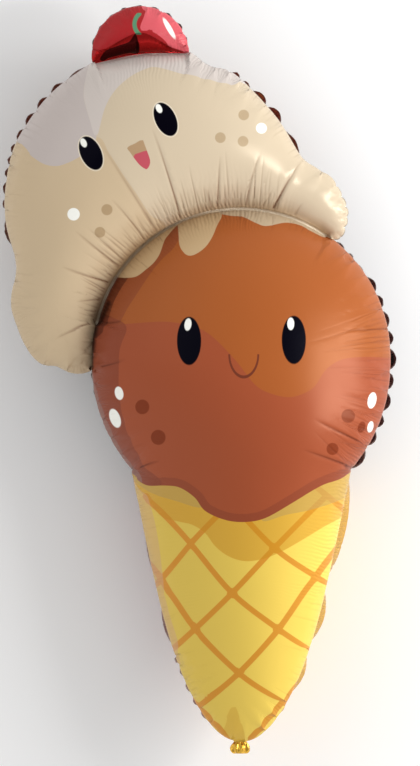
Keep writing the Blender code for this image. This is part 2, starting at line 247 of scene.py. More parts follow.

# Printed patches, some of them painted shade, in the order they are printed: name, corners on the
# artwork grid, the patch that bounds it if any, colour, and how much of what lies under them they cover
PATCHES = [
    ("vanilla_shade", [
        (97, 138), (110, 155), (125, 178), (137, 195), (150, 215), (165, 232), (130, 300), (95, 380),
        (0, 400), (-20, 300), (-20, 120), (20, 120), (60, 150),
    ], None, "vanilla_shade", 1.0),
    ("vanilla_lilac", [
        (92, 66), (86, 85), (85, 100), (90, 120), (97, 138), (90, 150), (80, 158), (68, 164), (57, 167),
        (45, 165), (35, 158), (28, 150), (20, 141), (-10, 130), (0, 60), (60, 40),
    ], None, "vanilla_lilac", 1.0),
    ("vanilla_pale", [
        (92, 64), (86, 85), (85, 100), (90, 120), (97, 138), (105, 110), (115, 92), (130, 78), (145, 70),
        (157, 68), (183, 75), (203, 81), (226, 87), (238, 86), (252, 84), (240, 55), (190, 40), (100, 40),
    ], None, "vanilla_pale", 1.0),
    ("cone", [
        (90, 420), (150, 440), (250, 440), (350, 440), (420, 420), (420, 800), (90, 800),
    ], None, "cone_gold", 1.0),
    ("cone_shade", [
        (125, 450), (140, 486), (152, 500), (163, 516), (179, 521), (192, 524), (205, 532), (215, 545),
        (228, 555), (244, 560), (262, 558), (280, 551), (300, 540), (320, 527), (345, 510), (365, 480),
        (350, 450),
    ], "cone", "cone_shade", 0.62),
    ("cone_edge", [
        (120, 450), (140, 486), (152, 500), (160, 540), (165, 575), (171, 610), (182, 650), (176, 680),
        (120, 600),
    ], "cone", "cone_edge", 0.5),
    ("drip_shade_left", [
        (130, 470), (146, 488), (160, 495), (178, 501), (200, 507), (210, 500), (190, 480), (150, 465),
    ], "cone", "drip_shade", 0.55),
    ("drip_shade_right", [
        (262, 520), (285, 514), (310, 509), (335, 500), (348, 490), (358, 460), (300, 480), (265, 500),
    ], "cone", "drip_shade", 0.55),
    # Painted shade on the gold fold above the neck.
    ("neck_painted_fold_shade", [
        (227, 722), (231, 708), (236, 706), (241, 720), (246, 740), (248, 790), (224, 790), (223, 740),
    ], "cone", "cone_shade", 0.35),
    ("chocolate", [
        (331.4, 239.6), (316, 229), (298, 220), (280, 214), (260, 210), (241, 208.8), (222, 210),
        (200, 214.6), (180, 222), (160, 232.6), (142, 246), (126, 263), (113, 282), (103, 303), (97, 325),
        (93.3, 342), (92.6, 360), (92, 376), (70, 410), (90, 450), (134, 472), (141, 480), (150, 485),
        (165, 485), (180, 487), (195, 497), (205, 510), (225, 519), (245, 521), (265, 517), (290, 503),
        (320, 485), (337, 478), (354, 466), (400, 450), (430, 350), (400, 270), (355, 248), (343, 243),
    ], None, "chocolate", 1.0),
    ("chocolate_upper_rim", [
        (188, 214), (176, 245), (162, 260), (150, 275), (130, 305), (115, 327), (80, 335), (90, 280),
        (130, 225), (160, 205),
    ], "chocolate", "chocolate_rim", 0.55),
    ("chocolate_dark", [
        (60, 326), (100, 326), (130, 324), (165, 322), (190, 326), (210, 335), (235, 360), (255, 385),
        (272, 394), (290, 397), (306, 392), (315, 385), (325, 370), (340, 360), (362, 357), (388, 358),
        (430, 360), (430, 560), (60, 560),
    ], "chocolate", "chocolate_dark", 1.0),
    ("chocolate_left_rim", [
        (70, 318), (124, 323), (121, 350), (120, 380), (123, 410), (133, 440), (147, 466), (162, 492),
        (100, 540), (50, 400),
    ], "chocolate", "chocolate_rim", 0.75),
    ("chocolate_edge", [
        (86, 366), (95, 372), (102, 398), (112, 425), (126, 452), (144, 478), (136, 500), (100, 460),
        (80, 400),
    ], "chocolate", "chocolate_edge", 0.55),
    # Painted shade and dark reflection in the valley beside the inner weld.
    ("painted_valley_shade", [
        (94, 335), (99, 312), (108, 291), (120, 274), (133, 259), (146, 252), (138, 266), (127, 280),
        (118, 294), (112, 308), (108, 322), (104, 334),
    ], "chocolate", "painted_valley_shade", 0.62),
    ("drip_one", [
        (96, 258), (108, 276), (118, 277.5), (128, 278), (137, 276.5), (146, 270), (154, 263), (160, 254),
        (165, 240), (171, 232), (184, 214), (150, 205), (110, 235),
    ], "chocolate", "drip", 1.0),
    ("drip_two", [
        (177.5, 216), (178.5, 232), (179.5, 245), (183, 252), (188, 256), (195, 255), (205, 248),
        (212, 238), (217, 226), (222, 214), (215, 200), (185, 200),
    ], "chocolate", "drip", 1.0),
    ("drip_three", [
        (218, 212), (230, 216), (242, 217), (255, 223), (266, 226.5), (285, 223), (300, 225.5),
        (312, 232), (326, 236), (310, 205), (250, 195), (220, 200),
    ], "chocolate", "drip_light", 1.0),
    ("cherry", [
        (78, 66), (91.2, 64.3), (103.5, 61.5), (115.7, 58.6), (128, 56), (140.4, 54.1), (152.8, 53.2),
        (165.4, 53.1), (177.9, 53.3), (190.5, 53.4), (204, 53), (215, 30), (180, -20), (100, -20), (70, 30),
    ], None, "cherry", 1.0),
    ("cherry_light", [
        (142, 5), (158, 8), (172, 18), (184, 36), (192, 58), (176, 60), (166, 42), (152, 32), (140, 30),
        (143, 18),
    ], "cherry", "cherry_light", 0.5),
    ("cherry_fold", [
        (88, 62), (98, 55), (104, 50), (118, 42), (133, 34.5), (141, 33), (148, 34.5), (160, 41), (170, 47),
        (182, 51), (190, 58), (150, 70), (95, 75),
    ], "cherry", "cherry_fold", 0.85),
    # Painted shade at the bottom of the cherry's fold, standing in for its dark reflections.
    ("painted_fold_shade", [
        (100, 58.5), (106, 51), (118, 46), (129, 42), (133.5, 36), (136, 34), (138, 41), (139.5, 47),
        (138, 53.5), (130, 53), (120, 55), (109, 58), (103, 61),
    ], "cherry", "painted_fold_shade", 0.9),
    ("mouth", [
        (127.6, 148.7), (135, 145), (142.6, 141), (145, 146), (148, 154), (150.3, 161), (150, 166),
        (147, 170.4), (143, 168.5), (139, 165), (134, 158.5), (130.5, 153.5),
    ], None, "mouth", 1.0),
    ("tongue", [
        (120, 161.5), (133.3, 156.2), (146.5, 151.5), (160, 146), (165, 180), (130, 185),
    ], "mouth", "tongue", 1.0),
]

# Printed lines, and a line of painted shade along the slit, on the artwork grid: name, points, half width
# and the patch that bounds the line, if any
STROKES = [
    ("waffle_a", [(148, 495), (190.8, 543), (232, 592), (278, 628), (312, 652)], 2.8, "cone"),
    ("waffle_b", [(150, 560), (164, 578), (195.6, 628), (238.6, 672), (280, 700), (300, 712)], 2.8, "cone"),
    ("waffle_c", [(236, 508), (274, 547), (313, 575), (345, 598)], 2.8, "cone"),
    ("waffle_d", [(168, 672), (201, 705), (222, 727), (235, 745)], 2.6, "cone"),
    ("waffle_e", [(222, 510), (190.8, 543), (164, 578), (150, 596)], 2.8, "cone"),
    ("waffle_f", [(322, 498), (274, 547), (232, 592), (195.6, 628), (160, 664)], 2.8, "cone"),
    ("waffle_g", [(346, 530), (313, 575), (278, 628), (238.6, 672), (201, 705), (186, 718)], 2.8, "cone"),
    ("waffle_i", [(308, 480), (330, 499), (352, 520)], 2.8, "cone"),
    ("waffle_h", [(318, 655), (280, 700), (250, 735)], 2.6, "cone"),
    ("slit_shade", [(109, 303), (102, 320), (98, 335), (96, 350), (94.5, 362), (94, 371)], 1.6, None),
    ("drip_rim", [
        (130, 470), (150, 485), (165, 485), (180, 487), (195, 497), (205, 510), (225, 519), (245, 521),
        (265, 517), (290, 503), (320, 485), (356, 470),
    ], 8.0, "chocolate"),
]

# Printed ovals on the artwork grid: centre, half width, half height, turn in degrees, colour
OVALS = [
    ((91.5, 154.3), 11.4, 18.9, 25, "eye_ring"),
    ((165.8, 120.6), 11.4, 18.9, 25, "eye_ring"),
    ((91.5, 154.3), 10.4, 17.9, 25, "eye"),
    ((165.8, 120.6), 10.4, 17.9, 25, "eye"),
    ((84.2, 144.0), 2.9, 4.7, 25, "glint"),
    ((159.2, 109.8), 2.9, 4.7, 25, "glint"),
    ((189.2, 341.2), 12.0, 24.0, 0, "eye"),
    ((293.2, 340.2), 12.0, 24.0, 0, "eye"),
    ((188.1, 324.9), 3.4, 6.1, -8, "glint"),
    ((290.2, 324.2), 3.4, 6.1, 0, "glint"),
    ((74.2, 215.0), 6.2, 6.2, 0, "glint"),
    ((261.3, 128.9), 5.4, 5.4, 0, "glint"),
    ((107.4, 210.5), 5.5, 5.5, 0, "vanilla_dot_left"),
    ((100.4, 232.9), 5.3, 5.3, 0, "vanilla_dot_left"),
    ((243.6, 115.8), 5.3, 5.3, 0, "vanilla_dot"),
    ((220.3, 138.7), 5.3, 5.3, 0, "vanilla_dot"),
    ((242.9, 142.2), 5.3, 5.3, 0, "vanilla_dot"),
    ((119.4, 393.2), 4.2, 6.7, 12, "glint"),
    ((115.2, 418.2), 5.2, 9.8, 20, "glint"),
    ((142.6, 406.8), 7.0, 7.3, 0, "chocolate_dot"),
    ((158.5, 437.1), 7.3, 7.5, 0, "chocolate_dot"),
    ((169.2, 28.6), 2.5, 11.8, 30, "glint"),
    ((371.4, 400.3), 4.3, 8.0, -12, "glint"),
    ((369.8, 426.7), 2.9, 5.6, -14, "glint"),
    ((347.4, 415.8), 6.8, 6.8, 0, "chocolate_dot"),
    ((360.8, 427.0), 3.6, 5.9, -20, "chocolate_dot"),
    ((331.7, 448.5), 6.0, 6.0, 0, "chocolate_dot"),
]

# Printed arcs on the artwork grid: centre, half width, half height, half line width, the box of the grid
# that shows them, colour
ARCS = [
    ((243.5, 354.4), 14.4, 22.6, 0.95, (225, 354.4, 262, 380), "smile"),
    ((148.0, 24.5), 13.4, 13.4, 2.1, (130, 13.2, 141.4, 35), "stem"),
]


def shade(code):
    """A colour written as six hexadecimal digits, as the linear light Blender takes."""
    parts = [int(code[k : k + 2], 16) / 255 for k in (0, 2, 4)]
    return tuple(p / 12.92 if p <= 0.04045 else ((p + 0.055) / 1.055) ** 2.4 for p in parts)


def length_size(name, default, description, low=0.0, high=1.0):
    return FloatProperty(
        name=name, description=description, default=default, min=low, max=high, unit="LENGTH", precision=4
    )


def colour(name, code, description):
    return FloatVectorProperty(
        name=name, description=description, default=shade(code), size=3, min=0.0, max=1.0, subtype="COLOR"
    )


class FoilBalloonSizes(bpy.types.PropertyGroup):
    scoop_radius: length_size("Scoop radius", 0.201, "Radius of the lower scoop at its weld")
    cone_length: length_size("Cone length", 0.3683, "From the cone's mouth to the root of the neck")
    cone_mouth: length_size("Cone mouth", 0.1475, "Half the cone's width at its mouth")
    cone_taper: length_size("Cone taper", 0.076, "How much narrower each side is at the tip")
    cone_twist: FloatProperty(
        name="Cone twist", description="How far the cone's weld is turned up on its right side",
        default=math.radians(12.0), min=0.0, max=0.5, subtype="ANGLE",
    )
    neck_half_width: length_size("Neck half width", 0.012, "Half the filling neck's width")
    neck_length: length_size("Neck length", 0.018, "From the cone's tip to the neck's cut end")
    cherry_radius: length_size("Cherry radius", 0.0645, "Radius of the cherry at its weld")
    flange_width: length_size("Weld border", 0.0013, "Foil left outside the weld line")
    foil_thickness: length_size("Foil thickness", 0.0006, "Both foils together at the weld")


class FoilBalloonFilling(bpy.types.PropertyGroup):
    fullness: FloatProperty(
        name="Fullness", description="How round the gas makes the sheets", default=1.22, min=0.5, max=2.0
    )
    rest_flat: length_size("Flat spot", 0.012, "Depth of the flat that the back rests on")
    gather_pitch: length_size("Gather spacing", 0.0262, "Distance between creases along the weld")
    gather_pull: length_size("Gather depth", 0.0030, "How far a crease pulls the weld in")
    ripple: length_size("Ripple height", 0.0026, "How far the foil swells between two creases")
    front_bulge: length_size("Front bulge", 0.0050, "How far the front sheet bulges past the weld")
    seed: IntProperty(name="Seed", description="Picks the irregular gathers", default=11, min=0)


class FoilBalloonColours(bpy.types.PropertyGroup):
    vanilla: colour("Vanilla", "CBBAA0", "Upper scoop")
    vanilla_shade: colour("Vanilla shade", "C8B292", "Upper scoop's left side")
    vanilla_lilac: colour("Vanilla lilac", "BFB4AF", "Upper scoop's lilac patch")
    vanilla_pale: colour("Vanilla pale", "C9BFB8", "Upper scoop's pale crown")
    vanilla_dot: colour("Vanilla dots", "B29C7D", "Dots on the upper scoop")
    vanilla_dot_left: colour("Vanilla dots, left", "AB9270", "Dots on the upper scoop's shaded side")
    drip: colour("Drips", "C3A780", "Drips over the lower scoop")
    drip_light: colour("Light drip", "BAA68A", "Shallow drip on the right")
    chocolate: colour("Chocolate", "A25729", "Lower scoop's upper part")
    chocolate_dark: colour("Dark chocolate", "9D4D30", "Lower scoop's lower part")
    chocolate_rim: colour("Chocolate rim", "823E2B", "Rim on the lower scoop's left")
    # Painted shade and dark reflection in the valley beside the inner weld.
    painted_valley_shade: colour("Painted valley shade", "3A0E0A", "Darkest part beside the weld")
    chocolate_edge: colour("Chocolate edge", "8F7068", "Pale strip at the left edge")
    chocolate_dot: colour("Chocolate dots", "7C3013", "Dots on the lower scoop")
    cone_gold: colour("Cone", "EECD5D", "Waffle cone")
    cone_edge: colour("Cone edge", "C9A079", "Tan strip down the cone's left edge")
    cone_shade: colour("Cone shade", "C68A1F", "Shade under the lower scoop")
    drip_shade: colour("Drip shade", "AE9356", "Deepest shade at the cone's mouth")
    waffle: colour("Waffle lines", "CE8225", "Lines of the waffle pattern")
    cherry: colour("Cherry", "A72227", "Cherry")
    cherry_light: colour("Cherry light", "FF7E89", "Cherry's lighter right side")
    cherry_fold: colour("Cherry fold", "B5201F", "Glossy red under the cherry's ridge")
    # Painted shade for the bottoms of deep folds: the cherry's fold and the slit.
    painted_fold_shade: colour("Fold depth", "1C0606", "Bottom of the cherry's fold")
    stem: colour("Stem", "5A8F6D", "Cherry's stem")
    mouth: colour("Mouth", "AE906E", "Open mouth")
    tongue: colour("Tongue", "BB515D", "Tongue")
    smile: colour("Smile", "6E3424", "Smiling line")
    eye: colour("Eyes", "03020A", "Eyes")
    eye_ring: colour("Eye rings", "E4D8C2", "Pale ring round the eyes")
    glint: colour("White marks", "F4F4EC", "Glints and white dots")
    weld: colour("Weld", "CDBFA6", "Weld border")
    weld_line: colour("Inner weld", "F0E4CE", "Pressed line between the scoops")
    # Painted shade: a brown tint fading up from the inner weld, in place of the shade in its valley.
    weld_shade: colour("Shade above the weld", "A87C50", "Brown tint just above the inner weld")
    # Painted shade: multiplied into the print along deep creases, in place of their shade and dark
    # reflections.
    crease: colour("Crease", "85573C", "Tint of the film where a crease has worn it")
    # Back of the balloon: metallic foil tinted after what it backs. The near-black and dark red ones are
    # painted reflection, standing in for the dark surroundings that the foil mirrors.
    back_cone: colour("Back of cone", "F5C04A", "Metallic back of the cone")
    back_cone_left_painted_reflection: colour("Back of cone, left", "8A3A1A", "Metallic back of the cone's left side")
    back_scoop_painted_reflection: colour("Back of scoop", "300D0B", "Metallic back of the lower scoop")
    back_topping: colour("Back of topping", "8A6440", "Metallic back of the upper scoop")
    back_cherry_painted_reflection: colour("Back of cherry", "4A0D12", "Metallic back of the cherry")


class FoilBalloonStage(bpy.types.PropertyGroup):
    camera_height: length_size("Camera height", 16.0, "Camera above the weld", 0.5, 50.0)
    view_height: length_size("View height", 1.0390, "What the picture shows from top to bottom", 0.1, 5.0)
    side_light: FloatProperty(name="Right light", description="Tall soft light", default=27.0, min=0.0)
    top_light: FloatProperty(name="Left light", description="Weaker soft light", default=6.0, min=0.0)
    surroundings: FloatProperty(name="Surroundings", description="Soft light all round", default=1.02)
    overhead: FloatProperty(name="Overhead", description="Soft light from straight above", default=0.38)


def arc(centre, radius, start_deg, end_deg):
    """Points along a circle's arc, both ends included."""
    turns = np.radians(np.linspace(start_deg, end_deg, 2 * CURVE_STEPS))
    return np.column_stack([centre[0] + radius * np.cos(turns), centre[1] + radius * np.sin(turns)])


def catmull_rom(rows, steps):
    """The spans of a Catmull-Rom curve, from rows of four points that follow each other."""
    t = np.linspace(0, 1, steps, endpoint=False)[:, None]
    spans = []
    for a, b, c, d in rows:
        rest = (c - a) * t + (2 * a - 5 * b + 4 * c - d) * t**2 + (3 * b - 3 * c + d - a) * t**3
        spans.append(b + 0.5 * rest)
    return spans


def smooth(points):
    """A smooth curve through an open row of points."""
    given = np.array(points, float)
    padded = np.vstack([2 * given[0] - given[1], given, 2 * given[-1] - given[-2]])
    spans = catmull_rom(zip(padded, padded[1:], padded[2:], padded[3:]), CURVE_STEPS)
    return np.vstack(spans + [given[-1:]])


def closed_smooth(points, steps=6):
    """A smooth closed curve through the points."""
    given = np.array(points, float)
    return np.vstack(catmull_rom(zip(*(np.roll(given, -j, axis=0) for j in (-1, 0, 1, 2))), steps))


def at_shares(points, shares):
    """Points at the given shares of a line's length."""
    steps = np.hypot(*np.diff(points, axis=0).T)
    run = np.concatenate([[0.0], np.cumsum(steps)])
    at = np.asarray(shares) * run[-1]
    return np.column_stack([np.interp(at, run, points[:, 0]), np.interp(at, run, points[:, 1])])


def line_length(points):
    return float(np.hypot(*np.diff(points, axis=0).T).sum())


def on_artwork(points):
    """Points of the artwork grid, in metres from the lower scoop's centre."""
    given = np.atleast_2d(np.array(points, float))
    return np.column_stack([given[:, 0] - ART_CENTRE[0], ART_CENTRE[1] - given[:, 1]]) * ART_UNIT


def scoop_corner(sizes):
    """How far below the lower scoop's middle its side ends at the cone, as an angle in degrees."""
    reach = sizes.scoop_radius * (1 + SCOOP_FLARE)
    return math.degrees(math.acos((sizes.cone_mouth - CONE_LIP) / reach))


def scoop_side(sizes, start_deg, end_deg):
    """One side of the lower scoop: round, and a little fuller towards the cone."""
    side = arc((0, 0), sizes.scoop_radius, start_deg, end_deg)
    turns = np.linspace(start_deg, end_deg, len(side))
    below = np.where(np.cos(np.radians(turns)) > 0, -turns, turns - 180)
    share = np.clip(below / scoop_corner(sizes), 0, 1)
    return side * (1 + SCOOP_FLARE * share**SCOOP_FLARE_BEND)[:, None]


def cone_mouth_y(sizes):
    corner = math.radians(scoop_corner(sizes))
    return -sizes.scoop_radius * (1 + SCOOP_FLARE) * math.sin(corner)


def cone_side(sizes, side):
    """One side of the cone, down to the neck: a straight taper that rounds off at the tip."""
    share = 1 - np.linspace(1, 0, 4 * CURVE_STEPS) ** 2
    half = (sizes.cone_mouth - sizes.cone_taper * share) * np.sqrt(1 - share**CONE_TIP_ROUNDNESS)
    keep = half > sizes.neck_half_width
    return np.column_stack([side * half[keep], cone_mouth_y(sizes) - sizes.cone_length * share[keep]])


def slit_side(sizes, side):
    """One side of the slit between the lower scoop and the upper scoop's left lobe."""
    turns = np.radians(np.linspace(SLIT_TOP_DEG, SLIT_MOUTH_DEG, CURVE_STEPS))
    share = np.linspace(0, 1, CURVE_STEPS)
    radius = sizes.scoop_radius + side * SLIT_MOUTH_HALF_GAP * np.sqrt(share)
    return np.column_stack([radius * np.cos(turns), radius * np.sin(turns)])


def cherry_shoulder(sizes, turn_deg):
    """The upper scoop's corner beside the cherry, a small step out from the cherry's own side."""
    centre = np.array(CHERRY_CENTRE) * sizes.scoop_radius
    return arc(centre, sizes.cherry_radius + CHERRY_SHOULDER, turn_deg, turn_deg)[0]


def outline_pieces(sizes):
    """The weld line round the balloon, clockwise, as named pieces that follow each other."""
    corner = scoop_corner(sizes)
    radius = sizes.scoop_radius
    root = cone_mouth_y(sizes) - sizes.cone_length
    tab = NECK_TAB_SHARE * sizes.neck_half_width
    end = root - sizes.neck_length
    cherry = np.array(CHERRY_CENTRE) * radius
    left = np.vstack([np.array(TOPPING_LEFT) * radius, cherry_shoulder(sizes, CHERRY_START_DEG)])
    right = np.vstack([cherry_shoulder(sizes, CHERRY_END_DEG), np.array(TOPPING_RIGHT) * radius])
    return [
        ("scoop right", scoop_side(sizes, RIGHT_NOTCH_DEG, -corner)),
        ("cone right", cone_side(sizes, 1)),
        ("neck right", np.array([(tab, root)])),
        ("neck end", np.array([(tab, end + NECK_ROLL)])),
        ("neck left", np.array([(-tab, end + NECK_ROLL), (-tab, root)])),
        ("cone left", cone_side(sizes, -1)[::-1]),
        ("scoop left", scoop_side(sizes, 180 + corner, SLIT_MOUTH_DEG)),
        ("slit up", slit_side(sizes, -1)[::-1]),
        ("slit down", slit_side(sizes, 1)),
        ("topping left", smooth(left)),
        ("cherry", arc(cherry, sizes.cherry_radius, CHERRY_START_DEG, CHERRY_END_DEG)),
        ("topping right", smooth(right)),
    ]


def weld_lines(sizes):
    """The two inner weld lines: under the upper scoop, and under the cherry."""
    under_topping = arc((0, 0), sizes.scoop_radius, SLIT_TOP_DEG, RIGHT_NOTCH_DEG)
    start = cherry_shoulder(sizes, CHERRY_START_DEG)
    end = cherry_shoulder(sizes, CHERRY_END_DEG)
    centre = CHERRY_CENTRE[0] * sizes.scoop_radius
    crown = (centre, (start[1] + end[1]) / 2 + CHERRY_CROWN_SHARE * sizes.cherry_radius)
    return [under_topping, smooth([start, crown, end])]


def gathered(line, cuts):
    """A line divided at its creases: its points and the count of creases passed at each."""
    length = line_length(line)
    shares = [np.array([0.0])]
    phases = [np.array([0.0])]
    for k, (start, end) in enumerate(zip(cuts, cuts[1:])):
        steps = np.arange(1, max(4, round((end - start) * length / STEP_LENGTH)) + 1)
        shares.append(start + (end - start) * steps / steps[-1])
        phases.append(k + steps / steps[-1])
    return at_shares(line, np.concatenate(shares)), np.concatenate(phases)


def uneven_cuts(line, pitch, rng):
    """Creases along a line at unequal spacings, as shares of its length."""
    gathers = max(1, round(line_length(line) / pitch))
    cuts = np.arange(gathers + 1, dtype=float)
    cuts[1:-1] += rng.uniform(-0.24, 0.24, max(gathers - 1, 0))
    return cuts / gathers


def outward_normals(points):
    """Unit normals of a closed clockwise line, pointing out of it and halving its corners."""
    ahead = np.roll(points, -1, axis=0) - points
    ahead /= np.hypot(*ahead.T)[:, None]
    along = ahead + np.roll(ahead, 1, axis=0)
    along /= np.hypot(*along.T)[:, None]
    return np.column_stack([-along[:, 1], along[:, 0]])


def inside(points, loop):
    """Which points lie inside a closed line."""
    found = np.zeros(len(points), bool)
    x, y = points.T
    for (x1, y1), (x2, y2) in zip(loop, np.roll(loop, -1, axis=0)):
        if y1 != y2:
            crosses = (y1 > y) != (y2 > y)
            found ^= crosses & (x < (x2 - x1) * (y - y1) / (y2 - y1) + x1)
    return found


class HeldLines:
    """The seam and both edges of each inner weld: every line that holds the two sheets together.

    Each line keeps four values for its points: the count of creases passed, the length run, how far
    the back sheet bulges there, and how far the crease pulls the weld in.
    """

    def __init__(self):
        self.starts = []
        self.ends = []
        self.values = []
        self.reach = 0.0
        self.offsets = []

    def add(self, points, phase, overhang, pull, closed=False):
        starts = points if closed else points[:-1]
        ends = np.roll(points, -1, axis=0) if closed else points[1:]
        run = self.reach + np.concatenate([[0.0], np.cumsum(np.hypot(*(ends - starts).T))])
        rows = [phase, overhang, pull]
        if closed:
            rows = [np.append(row, row[0]) for row in rows]
            rows[0][-1] = np.ceil(phase[-1] + 1e-9)
        rows.append(run)
        self.starts.append(starts)
        self.ends.append(ends)
        self.values.append(np.stack([np.column_stack([row[:-1], row[1:]]) for row in rows]))
        self.offsets.append(run[0])
        self.reach = run[-1] + 1.0

    def close(self):
        self.starts = np.vstack(self.starts)
        self.ends = np.vstack(self.ends)
        self.values = np.concatenate(self.values, axis=1)
        self.middles = (self.starts + self.ends) / 2

    def nearest(self, points):
        """For each point: the distance, the foot on the line and the four values there."""
        best = np.full(len(points), np.inf)
        pick = np.zeros(len(points), int)
        share = np.zeros(len(points))
        sizes = (self.middles**2).sum(axis=1)
        for low in range(0, len(points), 4000):
            part = slice(low, low + 4000)
            near = (sizes[None] - 2 * points[part] @ self.middles.T).argmin(axis=1)
            for shift in (-1, 0, 1):
                index = (near + shift) % len(self.starts)
                a = self.starts[index]
                run = self.ends[index] - a
                t = ((points[part] - a) * run).sum(axis=1) / np.maximum((run * run).sum(axis=1), 1e-18)
                t = np.clip(t, 0, 1)
                gap = np.hypot(*(points[part] - a - t[:, None] * run).T)
                better = gap < best[part]
                best[part] = np.where(better, gap, best[part])
                pick[part] = np.where(better, index, pick[part])
                share[part] = np.where(better, t, share[part])
        foot = self.starts[pick] + share[:, None] * (self.ends - self.starts)[pick]
        values = self.values[:, pick, 0] * (1 - share) + self.values[:, pick, 1] * share
        return best, foot, *values


def spread(values, count):
    """A closed row of values, averaged with that many neighbours on each side."""
    around = np.concatenate([values[-count:], values, values[:count]])
    return np.convolve(around, np.ones(2 * count + 1) / (2 * count + 1), mode="valid")


def flat_pattern(sizes, filling, rng):
    """The weld lines of the two sheets, laid flat: the outer seam and the inner strips."""
    pieces = outline_pieces(sizes)
    points = []
    rows = []
    names = []
    passed = 0.0
    for (name, line), (_, following) in zip(pieces, pieces[1:] + pieces[:1]):
        cuts, bulges, _ = GATHERS[name]
        line = np.vstack([line, following[:1]])
        made, phase = gathered(line, cuts)
        run = np.concatenate([[0.0], np.cumsum(np.hypot(*np.diff(made, axis=0).T))])
        share = run / run[-1]
        overhang = np.interp(share, *np.array(bulges, float).T) / 1000
        covered = np.ones(len(made))
        if name == OPEN_WELD[0]:
            covered = 1 - np.clip((share - OPEN_WELD[1]) / OPEN_WELD[2], 0, 1)
        points.append(made[:-1])
        rows.append(np.stack([passed + phase, overhang, covered])[:, :-1])
        names += [name] * (len(made) - 1)
        passed += phase[-1]
    outline = np.vstack(points)
    phase, overhang, covered = np.concatenate(rows, axis=1)
    overhang = spread(overhang, 4)
    names = np.array(names)
    normals = outward_normals(outline)
    strength = rng.uniform(0.6, 1.2, int(passed) + 1)
    strength[-1] = strength[0]
    pull = filling.gather_pull * (1 - np.abs(np.sin(math.pi * phase))) ** 2
    pull *= strength[np.round(phase).astype(int)]
    pull[[name.startswith("neck") for name in names]] = 0
    seam = outline - pull[:, None] * normals

    held = HeldLines()
    held.add(seam, phase, overhang, pull * 1.3 * covered - 0.0025 * (1 - covered), closed=True)
    strips = []
    for line in weld_lines(sizes):
        made, weld_phase = gathered(line, uneven_cuts(line, filling.gather_pitch, rng))
        along = np.gradient(made, axis=0)
        along /= np.hypot(*along.T)[:, None]
        across = np.column_stack([-along[:, 1], along[:, 0]])[4:-4]
        for side in (-1, 1):
            edge = made[4:-4] + side * WELD_HALF_WIDTH * across
            passed += 1.0
            none = np.zeros(len(edge))
            held.add(edge, passed + weld_phase[4:-4], none, none)
            strips.append((edge, side * across))
        passed += weld_phase[-1] + 1.0
    held.close()
    width = np.minimum(sizes.flange_width, 0.3 * facing_room(seam))
    border = unfolded_border(seam, outward_normals(seam), width)
    return SimpleNamespace(seam=seam, inward=-normals, names=names, strips=strips, held=held, border=border)


def kept_apart(points, others, gap):
    """The points that are no closer than that to the others, nor to one another."""
    tree = KDTree(len(others))
    for k, (x, y) in enumerate(others.tolist()):
        tree.insert((x, y, 0.0), k)
    tree.balance()
    kept = []
    cells = {}
    for x, y in points.tolist():
        if tree.find((x, y, 0.0))[2] < gap:
            continue
        i, j = int(x // gap), int(y // gap)
        around = (cells.get((i + a, j + b)) for a in (-1, 0, 1) for b in (-1, 0, 1))
        if any(near and math.hypot(near[0] - x, near[1] - y) < gap for near in around):
            continue
        cells[i, j] = (x, y)
        kept.append((x, y))
    return np.array(kept).reshape(-1, 2)


def hexagonal(low, high, spacing):
    """An even grid of points over a box."""
    levels = np.arange(low[1], high[1], spacing * math.sqrt(0.75))
    shifts = (np.arange(len(levels)) % 2) * spacing / 2
    across = np.arange(low[0], high[0], spacing)
    return np.column_stack([(across[None] + shifts[:, None]).ravel(), np.repeat(levels, len(across))])


def sheet_points(pattern, creases, cherry, fine):
    """Every point of one sheet: border, seam, welds, rows beside them, creases and an even grid."""
    seam, strips, held = pattern.seam, pattern.strips, pattern.held
    every = 1 if fine else 2
    fixed = np.vstack([pattern.border, seam] + [edge for edge, _ in strips])
    rows = []
    for line, away in [(seam, pattern.inward)] + strips:
        for distance in ROWS[::every]:
            row = line[::every] + distance * away[::every]
            rows.append(row[held.nearest(row)[0] > 0.85 * distance])
    rows = np.vstack(rows)
    rows = kept_apart(rows[inside(rows, seam)], fixed, 0.00065)
    points = np.vstack([fixed, rows])
    low, high = seam.min(axis=0), seam.max(axis=0)
    clear = ROWS[-1] + 0.0010
    if fine:
        traced = []
        for shift in (0.0, -1.0, 1.0, -2.2, 2.2):
            for start, end, _, width in creases:
                run = end - start
                length = np.hypot(*run)
                side = np.array([-run[1], run[0]]) / length
                t = np.arange(0, length, 0.0022)[:, None] / length
                traced.append(start + t * run + shift * width * side)
        traced = np.vstack(traced)
        traced = traced[inside(traced, seam)]
        traced = traced[held.nearest(traced)[0] > clear]
        points = np.vstack([points, kept_apart(traced, points, 0.00078)])
        grid = hexagonal(low, high, FINE_SPACING)
        grid = grid[inside(grid, seam)]
        gap = held.nearest(grid)[0]
        on_cherry = np.hypot(*(grid - cherry).T) < 0.08
        grid = grid[(gap > clear) & ((gap < FINE_REACH) | on_cherry)]
        points = np.vstack([points, kept_apart(grid, points, 0.62 * FINE_SPACING)])
    grid = hexagonal(low, high, EVEN_SPACING)
    grid = grid[inside(grid, seam)]
    grid = grid[held.nearest(grid)[0] > clear]
    return np.vstack([points, kept_apart(grid, points, 0.62 * EVEN_SPACING)])


def triangulated(points, border_count, seam_count):
    """Triangles over the flat sheet, all facing up, none outside the border."""
    edges = [(i, (i + 1) % border_count) for i in range(border_count)]
    edges += [(border_count + i, border_count + (i + 1) % seam_count) for i in range(seam_count)]
    found = delaunay_2d_cdt([Vector(p) for p in points.tolist()], edges, [], 0, 1e-9)
    source = np.array([origin[0] for origin in found[3]])
    faces = source[np.array(found[2])]
    faces = faces[inside(points[faces].mean(axis=1), points[:border_count])]
    a, b, c = (points[faces[:, k]] for k in range(3))
    doubled = (b[:, 0] - a[:, 0]) * (c[:, 1] - a[:, 1]) - (b[:, 1] - a[:, 1]) * (c[:, 0] - a[:, 0])
    faces[doubled < 0] = faces[doubled < 0][:, ::-1]
    return faces


